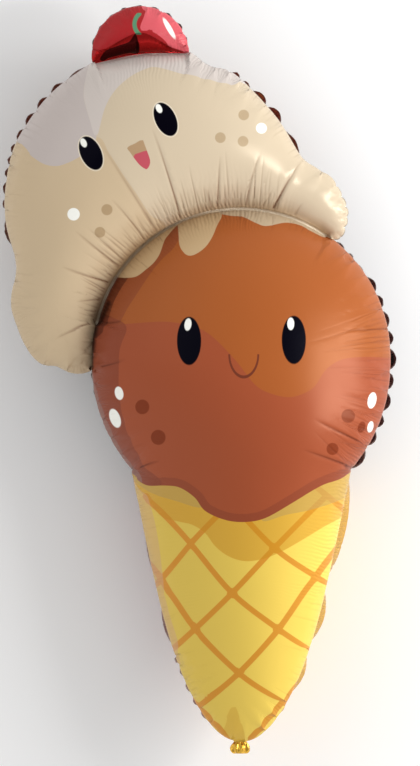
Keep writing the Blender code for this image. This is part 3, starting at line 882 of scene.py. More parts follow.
class Swelling:
    """How far the gas lifts the sheets from the weld's level.

    A film held at the welds and pushed up evenly takes a height that solves Poisson's equation, and
    the root of that height is an ellipse across a round cell. It is solved on a square grid, and kept
    there as its share of the distance from the nearest weld, which stays even right up to the weld.
    """

    def __init__(self, outline, held, fullness):
        self.fullness = fullness
        self.low = outline.min(axis=0) - 3 * LEVEL_CELL
        count = np.ceil((outline.max(axis=0) + 3 * LEVEL_CELL - self.low) / LEVEL_CELL).astype(int) + 1
        xs = self.low[0] + LEVEL_CELL * np.arange(count[0])
        ys = self.low[1] + LEVEL_CELL * np.arange(count[1])
        cells = np.column_stack([np.tile(xs, count[1]), np.repeat(ys, count[0])])
        gap = held.nearest(cells)[0].reshape(count[1], count[0])
        within = inside(cells, outline).reshape(gap.shape) & (gap > WELD_HALF_WIDTH)
        height = self.solved(within)
        share = np.where(within, height / np.maximum(gap, 1e-6), 0)
        known = within & (gap > 1.6 * LEVEL_CELL)
        for _ in range(6):
            weight = self.summed(known.astype(float))
            total = self.summed(np.where(known, share, 0))
            fill = ~known & (weight > 0)
            share[fill] = total[fill] / weight[fill]
            known |= fill
        self.share = share
        self.height = height

    @staticmethod
    def summed(values):
        padded = np.pad(values, 1)
        rows, columns = values.shape
        around = [(i, j) for i in (0, 1, 2) for j in (0, 1, 2) if (i, j) != (1, 1)]
        return sum(padded[i : i + rows, j : j + columns] for i, j in around)

    @staticmethod
    def solved(within):
        def spread_of(u):
            out = 4 * u
            out[1:] -= u[:-1]
            out[:-1] -= u[1:]
            out[:, 1:] -= u[:, :-1]
            out[:, :-1] -= u[:, 1:]
            return np.where(within, out, 0)

        load = np.where(within, LEVEL_CELL**2, 0.0)
        u = np.zeros(within.shape)
        rest = load.copy()
        step = rest.copy()
        size = (rest * rest).sum()
        for _ in range(900):
            spreading = spread_of(step)
            amount = size / (step * spreading).sum()
            u += amount * step
            rest -= amount * spreading
            grown = (rest * rest).sum()
            if grown < 1e-16 * (load * load).sum():
                break
            step = rest + (grown / size) * step
            size = grown
        return u

    def at(self, points, gap):
        """The lift at each point: by its share of the gap beside a weld, and from the height elsewhere."""
        place = (points - self.low) / LEVEL_CELL
        i = np.clip(place.astype(int), 1, np.array(self.share.shape[::-1]) - 3)
        t = np.clip(place - i, 0, 1)
        cubic = []
        for u in t.T:
            ends = -u + 2 * u**2 - u**3, u**3 - u**2
            cubic.append(np.stack([ends[0], 2 - 5 * u**2 + 3 * u**3, u + 4 * u**2 - 3 * u**3, ends[1]]) / 2)
        even = np.stack([np.zeros_like(t), 1 - t, t, np.zeros_like(t)])
        x, y = i.T
        beside = np.zeros(len(points))
        middle = np.zeros(len(points))
        for a in range(4):
            for b in range(4):
                at = (y + b - 1, x + a - 1)
                beside += self.share[at] * even[a][:, 0] * even[b][:, 1]
                middle += self.height[at] * cubic[0][a] * cubic[1][b]
        blend = np.clip((gap - 0.009) / 0.007, 0, 1)
        blend *= blend * (3 - 2 * blend)
        return self.fullness * np.sqrt(np.maximum((1 - blend) * beside * gap + blend * middle, 0))


def seam_level(sizes, points):
    """How far the cone's twist raises the weld's level at each point: its right side turns up."""
    share = np.clip(points[:, 1] / cone_mouth_y(sizes), 0, 1)
    return math.tan(sizes.cone_twist) * points[:, 0] * share * share * (3 - 2 * share)


def vertex_normals(positions, faces):
    """Unit normals of a triangle mesh at its points, larger faces counting for more."""
    a, b, c = (positions[faces[:, k]] for k in range(3))
    flat = np.cross(b - a, c - a)
    normals = np.zeros_like(positions)
    for k in range(3):
        np.add.at(normals, faces[:, k], flat)
    return normals / np.maximum(np.linalg.norm(normals, axis=1), 1e-12)[:, None]


def groove(points, start, end, depth, width, bend=0.0):
    """One crease: how far it moves the foil at each point, and how much of its line of painted shade shows
    there.
    """
    run = end - start
    length = np.hypot(*run)
    ahead = run / length
    side = np.array([-ahead[1], ahead[0]])
    away = points - start
    t = away @ ahead
    across = away @ side
    near = np.flatnonzero((t > -2 * width) & (t < length) & (np.abs(across) < 9 * width + abs(bend)))
    t = t[near]
    share = np.clip(t / length, 0, 1)
    v = np.abs(across[near] - bend * share * (1 - share) * 4)
    wide = width * (1 + 0.8 * share)
    fade = (1 - share**2) * np.clip(1 + t / (2 * width), 0, 1)
    moved = depth * fade * (0.5 * np.exp(-((v / (2.8 * wide)) ** 2)) - np.exp(-v / wide))
    return near, moved, fade * np.exp(-((v / (0.75 * width)) ** 2))


def creased(points, creases, bends):
    """All creases together: the movement, and the lines of painted shade."""
    moved = np.zeros(len(points))
    lines = np.zeros(len(points))
    for crease, bend in zip(creases, bends):
        near, depth, line = groove(points, *crease, bend)
        moved[near] += depth
        lines[near] = np.maximum(lines[near], line * min(1.0, crease[2] / 0.0025))
    return moved, lines


def fans_of_creases(line, away, free, pitch, reach, depth, lean, rng):
    """Fine creases that run out from a weld side by side, each leaning and reaching a bit differently."""
    run = np.concatenate([[0.0], np.cumsum(np.hypot(*np.diff(line, axis=0).T))])
    places = np.cumsum(rng.uniform(0.6, 1.4, int(run[-1] / pitch * 1.1)) * pitch)
    made = []
    swing = rng.uniform(-1, 1, int(run[-1] / 0.05) + 2)
    for place in places[places < run[-1]]:
        k = int(np.searchsorted(run, place)) - 1
        if not free[k]:
            continue
        turn = lean * (np.interp(place / 0.05, np.arange(len(swing)), swing) + rng.normal(0, 0.25))
        x, y = away[k]
        c, s = math.cos(turn), math.sin(turn)
        turned = np.array([x * c - y * s, x * s + y * c])
        length = reach * rng.lognormal(0.0, 0.45)
        strength = rng.uniform(0.4, 1.2)
        made.append((line[k], line[k] + length * turned, depth * strength, rng.uniform(0.0008, 0.0012)))
    return made


def soft_noise(points, rng, count, low, high):
    """Smooth random swells: a sum of that many waves with lengths between low and high."""
    total = np.zeros(len(points))
    for _ in range(count):
        turn = rng.uniform(0, 2 * math.pi)
        wave = 2 * math.pi / rng.uniform(low, high)
        total += np.sin(wave * (points @ np.array([math.cos(turn), math.sin(turn)])) + rng.uniform(0, 6.28))
    return total / math.sqrt(count)


def line_gap(points, starts, ends):
    """The distance of each point from a row of line segments."""
    best = np.full(len(points), np.inf)
    for a, b in zip(starts, ends):
        run = b - a
        t = np.clip(((points - a) @ run) / max(run @ run, 1e-18), 0, 1)
        best = np.minimum(best, np.hypot(*(points - a - t[:, None] * run).T))
    return best


def signed_gap(points, loop):
    """The distance of each point from a closed line, negative inside it."""
    gap = line_gap(points, loop, np.roll(loop, -1, axis=0))
    return np.where(inside(points, loop), -gap, gap)


def stroke_gap(points, line, half_width):
    """The distance of each point from a drawn line's edge, negative inside the line."""
    return line_gap(points, line, line[1:]) - half_width


def printed_gaps(flat, sizes, whole):
    """For each printed patch and line, painted shade among them, the distance of every point of the sheet
    from its edge.
    """
    found = {}
    for name, corners, bound, *_ in PATCHES:
        if whole or name in ("cone", "chocolate", "cherry"):
            gap = signed_gap(flat, closed_smooth(on_artwork(corners)))
            found[name] = gap if bound is None else np.maximum(gap, found[bound])
    if not whole:
        return found
    for name, line, half_width, bound in STROKES:
        gap = stroke_gap(flat, smooth(on_artwork(line))[::4], half_width * ART_UNIT)
        found[name] = gap if bound is None else np.maximum(gap, found[bound])
    waffle = [found.pop(name) for name, *_ in STROKES if name.startswith("waffle")]
    found["waffle"] = np.min(waffle, axis=0)
    found["weld_line"] = stroke_gap(flat, weld_lines(sizes)[0][::2], WELD_HALF_WIDTH)
    return found


def all_creases(pattern, rng):
    """The creases of the front and of the back: the long ones, and the fans that run out from the welds."""
    seam, inward = pattern.seam, pattern.inward
    creases = []
    for start, end, depth, width in LONG_CREASES:
        creases.append((on_artwork(start)[0], on_artwork(end)[0], depth / 1000, width / 1000))
    back_creases = []
    for name, (_, _, fan) in GATHERS.items():
        if fan:
            pitch, reach, depth = np.array(fan[:3]) / 1000
            here = pattern.names == name
            share = np.cumsum(here) / here.sum()
            kept = here & (share >= fan[3]) & (share <= fan[4])
            creases += fans_of_creases(seam, inward, kept, pitch, reach, depth, SEAM_FAN_LEAN, rng)
            back_creases += fans_of_creases(seam, inward, here, *BACK_SEAM_FAN, rng)
    below, above = ((edge, away, np.ones(len(edge), bool)) for edge, away in pattern.strips[:2])
    edge, away, free = above
    fanned = free & (np.arange(len(edge)) < FAN_END * len(edge))
    creases += fans_of_creases(edge, away, fanned, *ABOVE_WELD_FAN, rng)
    creases += fans_of_creases(*below, *BELOW_WELD_FAN, rng)
    back_creases += fans_of_creases(*above, *BACK_ABOVE_FAN, rng)
    back_creases += fans_of_creases(*below, *BACK_BELOW_FAN, rng)
    return creases, back_creases


def inner_weld_rise(pattern, gap, foot, along, inner):
    """How far the front stands up at the inner welds: the scoops' weld most of all, but not at its ends."""
    number = np.searchsorted(pattern.held.offsets, along, side="right") - 1
    ends = np.vstack([edge[[0, -1]] for edge, _ in pattern.strips[:2]])
    from_end = np.hypot(*(foot[:, None] - ends[None]).transpose(2, 0, 1)).min(axis=1)
    share = np.clip(from_end / WELD_TAPER, 0, 1)
    stands = share**2 * (3 - 2 * share) * np.isin(number, (1, 2))
    return WELD_STAND * np.exp(-gap / WELD_FOOT) * stands + 0.0025 * np.exp(-gap / 0.0014) * inner


def raised_sheet(front, settings, pattern, swelling, creases, shown, rng):
    """One sheet of the envelope: its points in space, its faces and the values at its points."""
    sizes, filling = settings.foil_balloon_sizes, settings.foil_balloon_filling
    held = pattern.held
    side = 1 if front else -1
    cherry = np.array(CHERRY_CENTRE) * sizes.scoop_radius
    flat = sheet_points(pattern, creases, cherry, front)
    faces = triangulated(flat, len(pattern.border), len(pattern.seam))
    gap, foot, count, overhang, pull, along = held.nearest(flat)
    held_count = len(pattern.border) + len(pattern.seam) + sum(len(edge) for edge, _ in pattern.strips)
    gap[:held_count] = 0
    in_neck = np.clip((cone_mouth_y(sizes) - sizes.cone_length - flat[:, 1]) / 0.003, 0, 1)
    lift = swelling.at(flat, gap) * (1 - 0.8 * in_neck)
    away = foot - flat
    away /= np.maximum(np.hypot(*away.T), 1e-9)[:, None]
    away[:held_count] = 0
    rise = np.abs(np.sin(math.pi * count))
    on_seam = along < held.values[3, len(pattern.seam) - 1, 1] + 0.5
    strength = rng.uniform(0.65, 1.35, int(held.values[0].max()) + 3)[count.astype(int)]
    level = seam_level(sizes, flat)
    level += 0.0014 * np.cos(math.pi * count) * np.exp(-gap / 0.006) * on_seam
    reach = np.clip(1 - gap / BULGE_REACH, 0, 1) ** 2 * on_seam
    if front:
        level += inner_weld_rise(pattern, gap, foot, along, ~on_seam)
        swing = (filling.front_bulge + pull) * (1 - np.exp(-gap / FRONT_ROLL)) * reach
    else:
        mix = np.exp(-gap / SCALLOP_REACH)
        scallop = (0.14 + 0.86 * rise**0.6) * (0.8 + 0.2 * strength)
        swing = overhang * (1 - np.exp(-gap / BACK_ROLL)) * reach * (scallop * mix + 1 - mix)
    height = level + side * (sizes.foil_thickness / 2 + lift)
    sheet = np.column_stack([flat + swing[:, None] * away, height])
    relief, lines = creased(flat, shown, rng.normal(0, 0.0014, len(shown)))
    swell = (rise - 0.62) * strength
    fading = np.clip(gap / 0.010, 0, 1)
    if front:
        relief += filling.ripple * 0.10 * swell * np.exp(-((gap - 0.010) / 0.007) ** 2)
        relief += 0.00012 * fading * soft_noise(flat, rng, 9, 0.045, 0.11)
    else:
        relief += filling.ripple * 1.15 * swell * np.exp(-gap / 0.020)
        relief += 0.0007 * fading * soft_noise(flat, rng, 9, 0.035, 0.10)
    relief *= 1 - np.exp(-gap / 0.0022)
    sheet += side * relief[:, None] * vertex_normals(sheet, faces)
    if not front:
        sheet[:, 2] = np.maximum(sheet[:, 2], sheet[:, 2].min() + filling.rest_flat)
    values = {"along": along, "inward": gap, "crease_shade_line": lines, **printed_gaps(flat, sizes, front)}
    return sheet, faces, values


def foil_envelope(settings):
    """The inflated envelope: its points, faces, material numbers, values at the points and weld's level."""
    rng = np.random.default_rng(settings.foil_balloon_filling.seed)
    pattern = flat_pattern(settings.foil_balloon_sizes, settings.foil_balloon_filling, rng)
    swelling = Swelling(pattern.seam, pattern.held, settings.foil_balloon_filling.fullness)
    creases, back_creases = all_creases(pattern, rng)
    front = raised_sheet(True, settings, pattern, swelling, creases, creases, rng)
    back = raised_sheet(False, settings, pattern, swelling, creases, back_creases, rng)

    count = len(front[0])
    ring = np.arange(len(pattern.border))
    ahead = np.roll(ring, -1)
    rim = np.column_stack([ring, ahead, ahead + count, ring + count])
    faces = front[1].tolist() + (back[1][:, ::-1] + count).tolist() + rim.tolist()
    on_border = [(sheet[1] < len(ring)).any(axis=1) for sheet in (front, back)]
    numbers = [np.where(border, 2, k) for k, border in enumerate(on_border)]
    numbers.append(np.full(len(rim), 2))
    positions = np.vstack([front[0], back[0]])
    positions[:, :2] += np.array(SCOOP_CENTRE)
    weld_level = -positions[:, 2].min()
    positions[:, 2] += weld_level
    values = {}
    for name, points in front[2].items():
        values[name] = np.concatenate([points, back[2].get(name, np.ones(len(back[0])))])
    return positions, faces, np.concatenate(numbers), values, weld_level


def facing_room(points):
    """The room beside each point of a closed line, up to a stretch of the line that turns back there."""
    room = np.full(len(points), np.inf)
    steps = np.hypot(*(np.roll(points, -1, axis=0) - points).T)
    run = np.cumsum(steps) - steps
    gaps = np.hypot(points[:, None, 0] - points[None, :, 0], points[:, None, 1] - points[None, :, 1])
    along = np.abs(run[:, None] - run[None, :])
    along = np.minimum(along, steps.sum() - along)
    gaps[along < 1.25 * gaps + 1e-6] = np.inf
    room = gaps.min(axis=1)
    return np.minimum(room, np.minimum(np.roll(room, 1), np.roll(room, -1)))


def unfolded_border(seam, normals, width):
    """The weld border's cut edge, drawn in wherever it would fold over itself."""
    ahead = np.roll(seam, -1, axis=0) - seam
    folded = np.ones(len(seam), bool)
    while folded.any():
        border = seam + width[:, None] * normals
        step = np.roll(border, -1, axis=0) - border
        folded = (step * ahead).sum(axis=1) < 0.25 * (ahead * ahead).sum(axis=1)
        width[folded | np.roll(folded, 1)] *= 0.7
    return border


class Nodes:
    """A material's node tree, with short ways to add what the printed foil needs."""

    def __init__(self, name):
        self.material = bpy.data.materials.new(name)
        self.material.use_nodes = True
        self.tree = self.material.node_tree
        self.shader = self.tree.nodes["Principled BSDF"]

    def add(self, kind, settings=None, **inputs):
        node = self.tree.nodes.new(kind)
        for key, value in (settings or {}).items():
            setattr(node, key, value)
        for key, value in inputs.items():
            self.feed(node.inputs[int(key[1:]) if key[0] == "i" and key[1:].isdigit() else key], value)
        return node

    def feed(self, socket, value):
        if isinstance(value, bpy.types.NodeSocket):
            self.tree.links.new(value, socket)
        elif isinstance(value, tuple) and len(value) == 3 and socket.type == "RGBA":
            socket.default_value = (*value, 1.0)
        else:
            socket.default_value = value

    def maths(self, operation, first, second=0.0):
        return self.add("ShaderNodeMath", {"operation": operation}, i0=first, i1=second).outputs[0]

    def remap(self, value, low, high, to_low=0.0, to_high=1.0):
        node = self.add("ShaderNodeMapRange", {"interpolation_type": "SMOOTHSTEP"})
        for k, given in enumerate((value, low, high, to_low, to_high)):
            self.feed(node.inputs[k], given)
        return node.outputs[0]

    def mixed(self, share, under, over):
        node = self.add("ShaderNodeMix", {"data_type": "RGBA"})
        self.feed(node.inputs[0], share)
        self.feed(node.inputs[6], under)
        self.feed(node.inputs[7], over)
        return node.outputs[2]

    def value_at_points(self, name):
        return self.add("ShaderNodeAttribute", {"attribute_name": name}).outputs["Fac"]

    def cover(self, name, full=1.0, soft=EDGE_SOFTNESS):
        """How much of a printed shape's colour shows: all of it inside its edge, none outside."""
        return self.remap(self.value_at_points(name), -soft, soft, full, 0.0)

    def noise(self, scale, detail):
        coordinates = self.add("ShaderNodeTexCoord").outputs["Object"]
        return self.add("ShaderNodeTexNoise", Vector=coordinates, Scale=scale, Detail=detail).outputs["Fac"]

    def relief(self, height, strength, distance):
        """Feeds the shader fine relief from a height."""
        bump = self.add("ShaderNodeBump", Height=height)
        bump.inputs["Strength"].default_value = strength
        bump.inputs["Distance"].default_value = distance
        self.feed(self.shader.inputs["Normal"], bump.outputs["Normal"])

    def place(self):
        """The place on the sheet, in artwork units right of and above the lower scoop's centre."""
        coordinates = self.add("ShaderNodeTexCoord").outputs["Object"]
        moved = self.add("ShaderNodeVectorMath", {"operation": "SUBTRACT"}, i0=coordinates)
        moved.inputs[1].default_value = (*SCOOP_CENTRE, 0.0)
        scaled = self.add("ShaderNodeVectorMath", {"operation": "SCALE"}, i0=moved.outputs[0])
        scaled.inputs[3].default_value = 1 / ART_UNIT
        return scaled.outputs[0]

    def oval_reach(self, place, centre, half_width, half_height, turn):
        """The distance from an oval's centre, as a share of its half size: 1 on its edge."""
        moved = self.add("ShaderNodeMapping", {"vector_type": "TEXTURE"}, Vector=place)
        moved.inputs["Location"].default_value = (centre[0] - ART_CENTRE[0], ART_CENTRE[1] - centre[1], 0.0)
        moved.inputs["Rotation"].default_value = (0.0, 0.0, math.radians(turn))
        moved.inputs["Scale"].default_value = (half_width, half_height, 1.0)
        parts = self.add("ShaderNodeSeparateXYZ", Vector=moved.outputs[0])
        flat = self.add("ShaderNodeCombineXYZ", X=parts.outputs[0], Y=parts.outputs[1])
        size = self.add("ShaderNodeVectorMath", {"operation": "LENGTH"}, i0=flat.outputs[0])
        return size.outputs["Value"]


def arc_mark(nodes, place, parts, centre, half_width, half_height, half_line, box):
    """How much of a printed arc shows: the oval's own line, inside a box of the grid."""
    reach = nodes.oval_reach(place, centre, half_width, half_height, 0)
    off = nodes.maths("ABSOLUTE", nodes.maths("SUBTRACT", reach, 1.0))
    line = half_line / half_width
    mark = nodes.remap(off, line * 0.7, line * 1.3, 1.0, 0.0)
    limits = [
        (0, box[0] - ART_CENTRE[0], 1), (0, box[2] - ART_CENTRE[0], -1),
        (1, ART_CENTRE[1] - box[3], 1), (1, ART_CENTRE[1] - box[1], -1),
    ]
    for axis, limit, side in limits:
        shown = (0.0, 1.0) if side > 0 else (1.0, 0.0)
        within = nodes.remap(parts.outputs[axis], limit - ARC_END, limit + ARC_END, *shown)
        mark = nodes.maths("MULTIPLY", mark, within)
    return mark


def print_colour(nodes, colours, place):
    """The print, patch over patch, then its lines and marks, the tint of its gloss and the chocolate; with
    painted shade on the cone's left, in the folds, the slit and the valley beside the inner weld, and along
    the creases.
    """
    parts = nodes.add("ShaderNodeSeparateXYZ", Vector=place)
    ground = tuple(colours.vanilla)
    covers = {}
    for name, _, _, paint, cover in PATCHES:
        covers[name] = nodes.cover(name, cover)
        tone = tuple(getattr(colours, paint))
        # Painted shade: the cone's colour darkens towards its left, as if lit from the right.
        if name == "cone":
            across = nodes.remap(parts.outputs[0], *CONE_PAINTED_SHADE_SPAN)
            tone = nodes.mixed(across, tuple(0.80 * c for c in tone), tone)
        ground = nodes.mixed(covers[name], ground, tone)
        if name == "cone":
            ground = nodes.mixed(nodes.cover("waffle", 0.85), ground, tuple(colours.waffle))
        if name == "chocolate_left_rim":
            ground = nodes.mixed(nodes.cover("drip_rim", 0.55), ground, tuple(colours.chocolate_rim))
    # Painted shade: a dark stroke along the slit stands in for the shadow in its deep fold.
    slit = nodes.remap(nodes.value_at_points("slit_shade"), -0.002, 0.003, 0.85, 0.0)
    ground = nodes.mixed(slit, ground, tuple(colours.painted_fold_shade))
    # Painted shade: brown just above the inner weld, fading upwards, in place of the shade in its valley.
    near_weld = nodes.remap(nodes.value_at_points("weld_line"), 0.0004, 0.015, 0.42, 0.0)
    above = nodes.maths("SUBTRACT", 1.0, covers["chocolate"])
    ground = nodes.mixed(nodes.maths("MULTIPLY", near_weld, above), ground, tuple(colours.weld_shade))
    ground = nodes.mixed(nodes.cover("weld_line", 0.92), ground, tuple(colours.weld_line))
    gloss = nodes.mixed(covers["cone"], VANILLA_GLOSS, CONE_GLOSS)
    gloss = nodes.mixed(covers["chocolate"], gloss, CHOCOLATE_GLOSS)
    for centre, half_width, half_height, turn, paint in OVALS:
        reach = nodes.oval_reach(place, centre, half_width, half_height, turn)
        edge = 0.45 / min(half_width, half_height)
        mark = nodes.remap(reach, 1 - edge, 1 + edge, 1.0, 0.0)
        ground = nodes.mixed(mark, ground, tuple(getattr(colours, paint)))
        if paint == "eye":
            gloss = nodes.mixed(mark, gloss, EYE_GLOSS)
    for *shape, paint in ARCS:
        mark = arc_mark(nodes, place, parts, *shape)
        ground = nodes.mixed(mark, ground, tuple(getattr(colours, paint)))
    # Painted shade along the deep creases, kept off the foil right beside the welds.
    open_foil = nodes.remap(nodes.value_at_points("inward"), 0.0015, 0.0045)
    darkened = nodes.maths("MULTIPLY", nodes.value_at_points("crease_shade_line"), open_foil)
    dark = nodes.add("ShaderNodeMix", {"data_type": "RGBA", "blend_type": "MULTIPLY"})
    for index, value in ((0, darkened), (6, ground), (7, tuple(colours.crease))):
        nodes.feed(dark.inputs[index], value)
    return dark.outputs[2], gloss, covers["chocolate"]


def foil_ripples(nodes, strength, pitch, reach):
    """Fine ripples that run in from the weld, and the faint crinkle of thin foil."""
    along = nodes.value_at_points("along")
    inward = nodes.value_at_points("inward")
    drift = nodes.maths("MULTIPLY", nodes.noise(26.0, 2.0), 16.0)
    turn = nodes.maths("ADD", nodes.maths("MULTIPLY", along, 2 * math.pi / pitch), drift)
    fade = nodes.maths("EXPONENT", nodes.maths("MULTIPLY", inward, -1 / reach))
    patchy = nodes.remap(nodes.noise(9.0, 1.0), 0.38, 0.62)
    ripple = nodes.maths("MULTIPLY", nodes.maths("MULTIPLY", nodes.maths("SINE", turn), fade), patchy)
    crinkle = nodes.maths("MULTIPLY", nodes.noise(70.0, 4.0), 0.12)
    nodes.relief(nodes.maths("ADD", nodes.maths("MULTIPLY", ripple, 0.5), crinkle), strength, 0.0010)


def printed_foil(colours):
    """The front sheet: satin print over metallised film."""
    nodes = Nodes("printed_foil_front")
    ground, gloss, chocolate = print_colour(nodes, colours, nodes.place())
    fold = nodes.cover("cherry_fold", soft=0.001)
    satin = nodes.remap(nodes.noise(14.0, 3.0), 0.3, 0.7, 0.21, 0.26)
    satin = nodes.maths("ADD", satin, nodes.maths("MULTIPLY", chocolate, 0.10))
    satin = nodes.maths("SUBTRACT", satin, nodes.maths("MULTIPLY", fold, 0.10))
    nodes.feed(nodes.shader.inputs["Base Color"], ground)
    nodes.feed(nodes.shader.inputs["Specular Tint"], gloss)
    nodes.feed(nodes.shader.inputs["Metallic"], nodes.remap(fold, 0.0, 1.0, 0.03, 0.9))
    nodes.feed(nodes.shader.inputs["Roughness"], satin)
    nodes.shader.inputs["Specular IOR Level"].default_value = 0.21
    foil_ripples(nodes, 0.55, 0.0052, 0.020)
    return nodes.material


def bare_foil(colours):
    """The back sheet: plain metallic foil in the colour of what it backs; its dark colours at the scoop,
    the cherry and the cone's left side are painted reflection.
    """
    nodes = Nodes("metallic_foil_back")
    chocolate, cone, cherry = (nodes.cover(name) for name in ("chocolate", "cone", "cherry"))
    # Painted reflection: the cone's back turns dark red towards its left.
    across = nodes.remap(nodes.add("ShaderNodeSeparateXYZ", Vector=nodes.place()).outputs[0], -35.0, 10.0)
    gold = nodes.mixed(across, tuple(colours.back_cone_left_painted_reflection), tuple(colours.back_cone))
    tone = nodes.mixed(cone, tuple(colours.back_topping), gold)
    tone = nodes.mixed(chocolate, tone, tuple(colours.back_scoop_painted_reflection))
    tone = nodes.mixed(cherry, tone, tuple(colours.back_cherry_painted_reflection))
    cone_only = nodes.maths("MULTIPLY", cone, nodes.maths("SUBTRACT", 1.0, chocolate))
    nodes.feed(nodes.shader.inputs["Base Color"], tone)
    nodes.feed(nodes.shader.inputs["Metallic"], nodes.remap(cone_only, 0.0, 1.0, 0.95, 0.35))
    nodes.feed(nodes.shader.inputs["Roughness"], nodes.remap(nodes.noise(14.0, 3.0), 0.3, 0.7, 0.14, 0.22))
    nodes.shader.inputs["Specular Tint"].default_value = BACK_GLOSS
    foil_ripples(nodes, 0.45, 0.0060, 0.030)
    return nodes.material


def weld_border(colours):
    """The flat border outside the weld, pressed and a little matt."""
    nodes = Nodes("weld_border")
    press = nodes.noise(160.0, 2.0)
    tone = tuple(colours.weld)
    nodes.feed(nodes.shader.inputs["Base Color"], nodes.mixed(press, tuple(0.75 * c for c in tone), tone))
    nodes.shader.inputs["Metallic"].default_value = 0.6
    nodes.shader.inputs["Roughness"].default_value = 0.36
    nodes.relief(press, 0.3, 0.0004)
    return nodes.material


def neck_foil(colours):
    """The rolled neck: thin, crinkled gold foil."""
    nodes = Nodes("rolled_gold_foil")
    crinkle = nodes.noise(260.0, 3.0)
    tone = nodes.remap(crinkle, 0.35, 0.65)
    gold = tuple(colours.back_cone)
    nodes.feed(nodes.shader.inputs["Base Color"], nodes.mixed(tone, tuple(0.6 * c for c in gold), gold))
    nodes.feed(nodes.shader.inputs["Roughness"], nodes.remap(crinkle, 0.3, 0.7, 0.16, 0.28))
    nodes.shader.inputs["Metallic"].default_value = 0.9
    nodes.relief(crinkle, 0.5, 0.0006)
    return nodes.material


def plain(name, tone, roughness):
    """A material of one colour."""
    nodes = Nodes(name)
    nodes.shader.inputs["Base Color"].default_value = (*tone, 1.0)
    nodes.shader.inputs["Roughness"].default_value = roughness
    return nodes.material


class BALLOON_OT_foil_envelope(bpy.types.Operator):
    """Makes the inflated envelope from its two welded foil sheets"""

    bl_idname = "foil_balloon.envelope"
    bl_label = "Foil envelope"

    def execute(self, context):
        scene = context.scene
        positions, faces, numbers, values, weld_level = foil_envelope(scene)
        mesh = bpy.data.meshes.new("foil_envelope")
        mesh.from_pydata(positions.tolist(), [], faces)
        colours = scene.foil_balloon_colours
        for material in (printed_foil(colours), bare_foil(colours), weld_border(colours)):
            mesh.materials.append(material)
        mesh.polygons.foreach_set("material_index", numbers.astype(np.int32))
        for name, points in values.items():
            attribute = mesh.attributes.new(name, "FLOAT", "POINT")
            attribute.data.foreach_set("value", points.astype(np.float32))
        mesh.validate()
        mesh.update()
        mesh.shade_smooth()
        envelope = bpy.data.objects.new("foil_envelope", mesh)
        envelope["weld_level"] = float(weld_level)
        scene.collection.objects.link(envelope)
        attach(envelope, "root")
        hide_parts("foil_balloon")
        return {"FINISHED"}


class BALLOON_OT_filling_neck(bpy.types.Operator):
    """Rolls the pleated filling neck round the end of the cone's weld"""

    bl_idname = "foil_balloon.filling_neck"
    bl_label = "Filling neck"

    def execute(self, context):
        scene = context.scene
        sizes = scene.foil_balloon_sizes
        root = cone_mouth_y(sizes) - sizes.cone_length
        level = scene.objects["foil_envelope"]["weld_level"]
        half = sizes.neck_half_width
        mesh_maker = bmesh.new()
        loops = []
        for k, (along, wide, deep) in enumerate(NECK_RINGS):
            loop = []
            for turn in NECK_TURNS:
                pleat = 1 + 0.13 * math.sin(8 * turn + 0.45 * k) + 0.04 * math.sin(19 * turn - 0.5 * k)
                loop.append(mesh_maker.verts.new((
                    SCOOP_CENTRE[0] + NECK_SHIFT + half * wide * pleat * math.cos(turn),
                    SCOOP_CENTRE[1] + root + along,
                    level + half * deep * pleat * math.sin(turn),
                )))
            loops.append(loop)
        for near, far in zip(loops, loops[1:]):
            for a, b, c, d in zip(near, near[1:] + near[:1], far[1:] + far[:1], far):
                mesh_maker.faces.new((a, b, c, d))
        mesh_maker.faces.new(loops[0][::-1])
        mesh_maker.faces.new(loops[-1])
        bmesh.ops.recalc_face_normals(mesh_maker, faces=mesh_maker.faces)
        mesh = bpy.data.meshes.new("filling_neck")
        mesh_maker.to_mesh(mesh)
        mesh_maker.free()
        mesh.shade_smooth()
        mesh.materials.append(neck_foil(scene.foil_balloon_colours))
        neck = bpy.data.objects.new("filling_neck", mesh)
        scene.collection.objects.link(neck)
        rounded = neck.modifiers.new("rounded", "SUBSURF")
        rounded.levels = rounded.render_levels = 1
        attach(neck, "root")
        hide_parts("foil_balloon")
        return {"FINISHED"}


def area_light(name, energy, width, height, place, target):
    """A soft rectangular light that faces a point."""
    light = bpy.data.lights.new(name, "AREA")
    light.energy = energy
    light.shape = "RECTANGLE"
    light.size = width
    light.size_y = height
    lamp = bpy.data.objects.new(name, light)
    lamp.location = place
    lamp.rotation_euler = (Vector(target) - Vector(place)).to_track_quat("-Z", "Y").to_euler()
    bpy.context.scene.collection.objects.link(lamp)


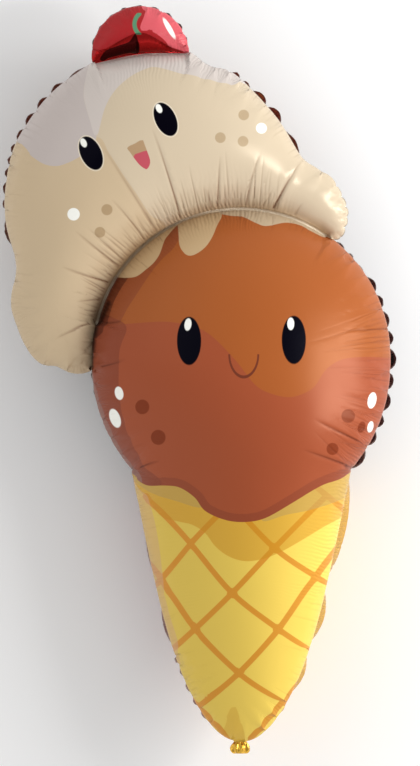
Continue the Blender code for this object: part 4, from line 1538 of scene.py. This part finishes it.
class BALLOON_OT_stage(bpy.types.Operator):
    """Sets the plain pale floor, the soft lights and the camera that looks straight down"""

    bl_idname = "foil_balloon.stage"
    bl_label = "Stage"

    def execute(self, context):
        scene = context.scene
        stage = scene.foil_balloon_stage
        mesh = bpy.data.meshes.new("floor")
        corners = [(-1, -1), (1, -1), (1, 1), (-1, 1)]
        mesh.from_pydata([(FLOOR_SIDE * x, FLOOR_SIDE * y, 0.0) for x, y in corners], [], [(0, 1, 2, 3)])
        mesh.materials.append(plain("pale_floor", (0.93, 0.93, 0.93), 0.9))
        floor = bpy.data.objects.new("floor", mesh)
        floor.location = (0.0, 0.0, FLOOR_LEVEL)
        scene.collection.objects.link(floor)

        world = bpy.data.worlds.new("studio")
        world.use_nodes = True
        tree = world.node_tree
        direction = tree.nodes.new("ShaderNodeTexCoord").outputs["Generated"]
        height = tree.nodes.new("ShaderNodeSeparateXYZ")
        tree.links.new(direction, height.inputs[0])
        sky = tree.nodes.new("ShaderNodeMapRange")
        sky.interpolation_type = "SMOOTHSTEP"
        for k, value in enumerate((0.50, 0.95, stage.surroundings, stage.overhead), 1):
            sky.inputs[k].default_value = value
        tree.links.new(height.outputs[2], sky.inputs[0])
        tree.nodes["Background"].inputs["Color"].default_value = (1.0, 1.0, 1.0, 1.0)
        tree.links.new(sky.outputs[0], tree.nodes["Background"].inputs["Strength"])
        scene.world = world

        area_light("right_softbox", stage.side_light, 0.42, 1.15, (1.60, 0.30, 1.05), (0.05, 0.05, 0.1))
        area_light("left_softbox", stage.top_light, 2.0, 2.0, (-1.6, 0.9, 2.2), (0.0, 0.0, 0.1))

        low, high = CAD_BOX
        camera = bpy.data.objects.new("camera", bpy.data.cameras.new("camera"))
        camera.data.sensor_fit = "VERTICAL"
        camera.data.sensor_height = 36.0
        camera.data.lens = 36.0 * stage.camera_height / stage.view_height
        centre = on_artwork(VIEW_CENTRE)[0] + np.array(SCOOP_CENTRE)
        camera.location = (centre[0], centre[1], stage.camera_height + (low[2] + high[2]) / 2)
        scene.collection.objects.link(camera)
        scene.camera = camera
        scene.view_settings.view_transform = "Standard"
        return {"FINISHED"}


class BALLOON_PT_panel(bpy.types.Panel):
    """Lists the balloon's sizes, colours and steps"""

    bl_label = "Foil Balloon"
    bl_idname = "BALLOON_PT_panel"
    bl_space_type = "VIEW_3D"
    bl_region_type = "UI"
    bl_category = "Foil Balloon"

    def draw(self, context):
        layout = self.layout
        for operator in OPERATORS:
            layout.operator(operator.bl_idname)
        for group_name in PROPERTY_GROUPS:
            box = layout.box()
            group = getattr(context.scene, group_name)
            for name in group.bl_rna.properties.keys():
                if name not in ("rna_type", "name"):
                    box.prop(group, name)


PROPERTY_GROUPS = {
    "foil_balloon_sizes": FoilBalloonSizes,
    "foil_balloon_filling": FoilBalloonFilling,
    "foil_balloon_colours": FoilBalloonColours,
    "foil_balloon_stage": FoilBalloonStage,
}
OPERATORS = (BALLOON_OT_foil_envelope, BALLOON_OT_filling_neck, BALLOON_OT_stage)
CLASSES = (*PROPERTY_GROUPS.values(), *OPERATORS, BALLOON_PT_panel)


def register():
    for item in CLASSES:
        bpy.utils.register_class(item)
    for name, group in PROPERTY_GROUPS.items():
        setattr(bpy.types.Scene, name, PointerProperty(type=group))


def unregister():
    for name in PROPERTY_GROUPS:
        delattr(bpy.types.Scene, name)
    for item in reversed(CLASSES):
        bpy.utils.unregister_class(item)


def main():
    register()
    bpy.ops.foil_balloon.envelope()
    bpy.ops.foil_balloon.filling_neck()
    bpy.ops.foil_balloon.stage()


if __name__ == "__main__":
    main()
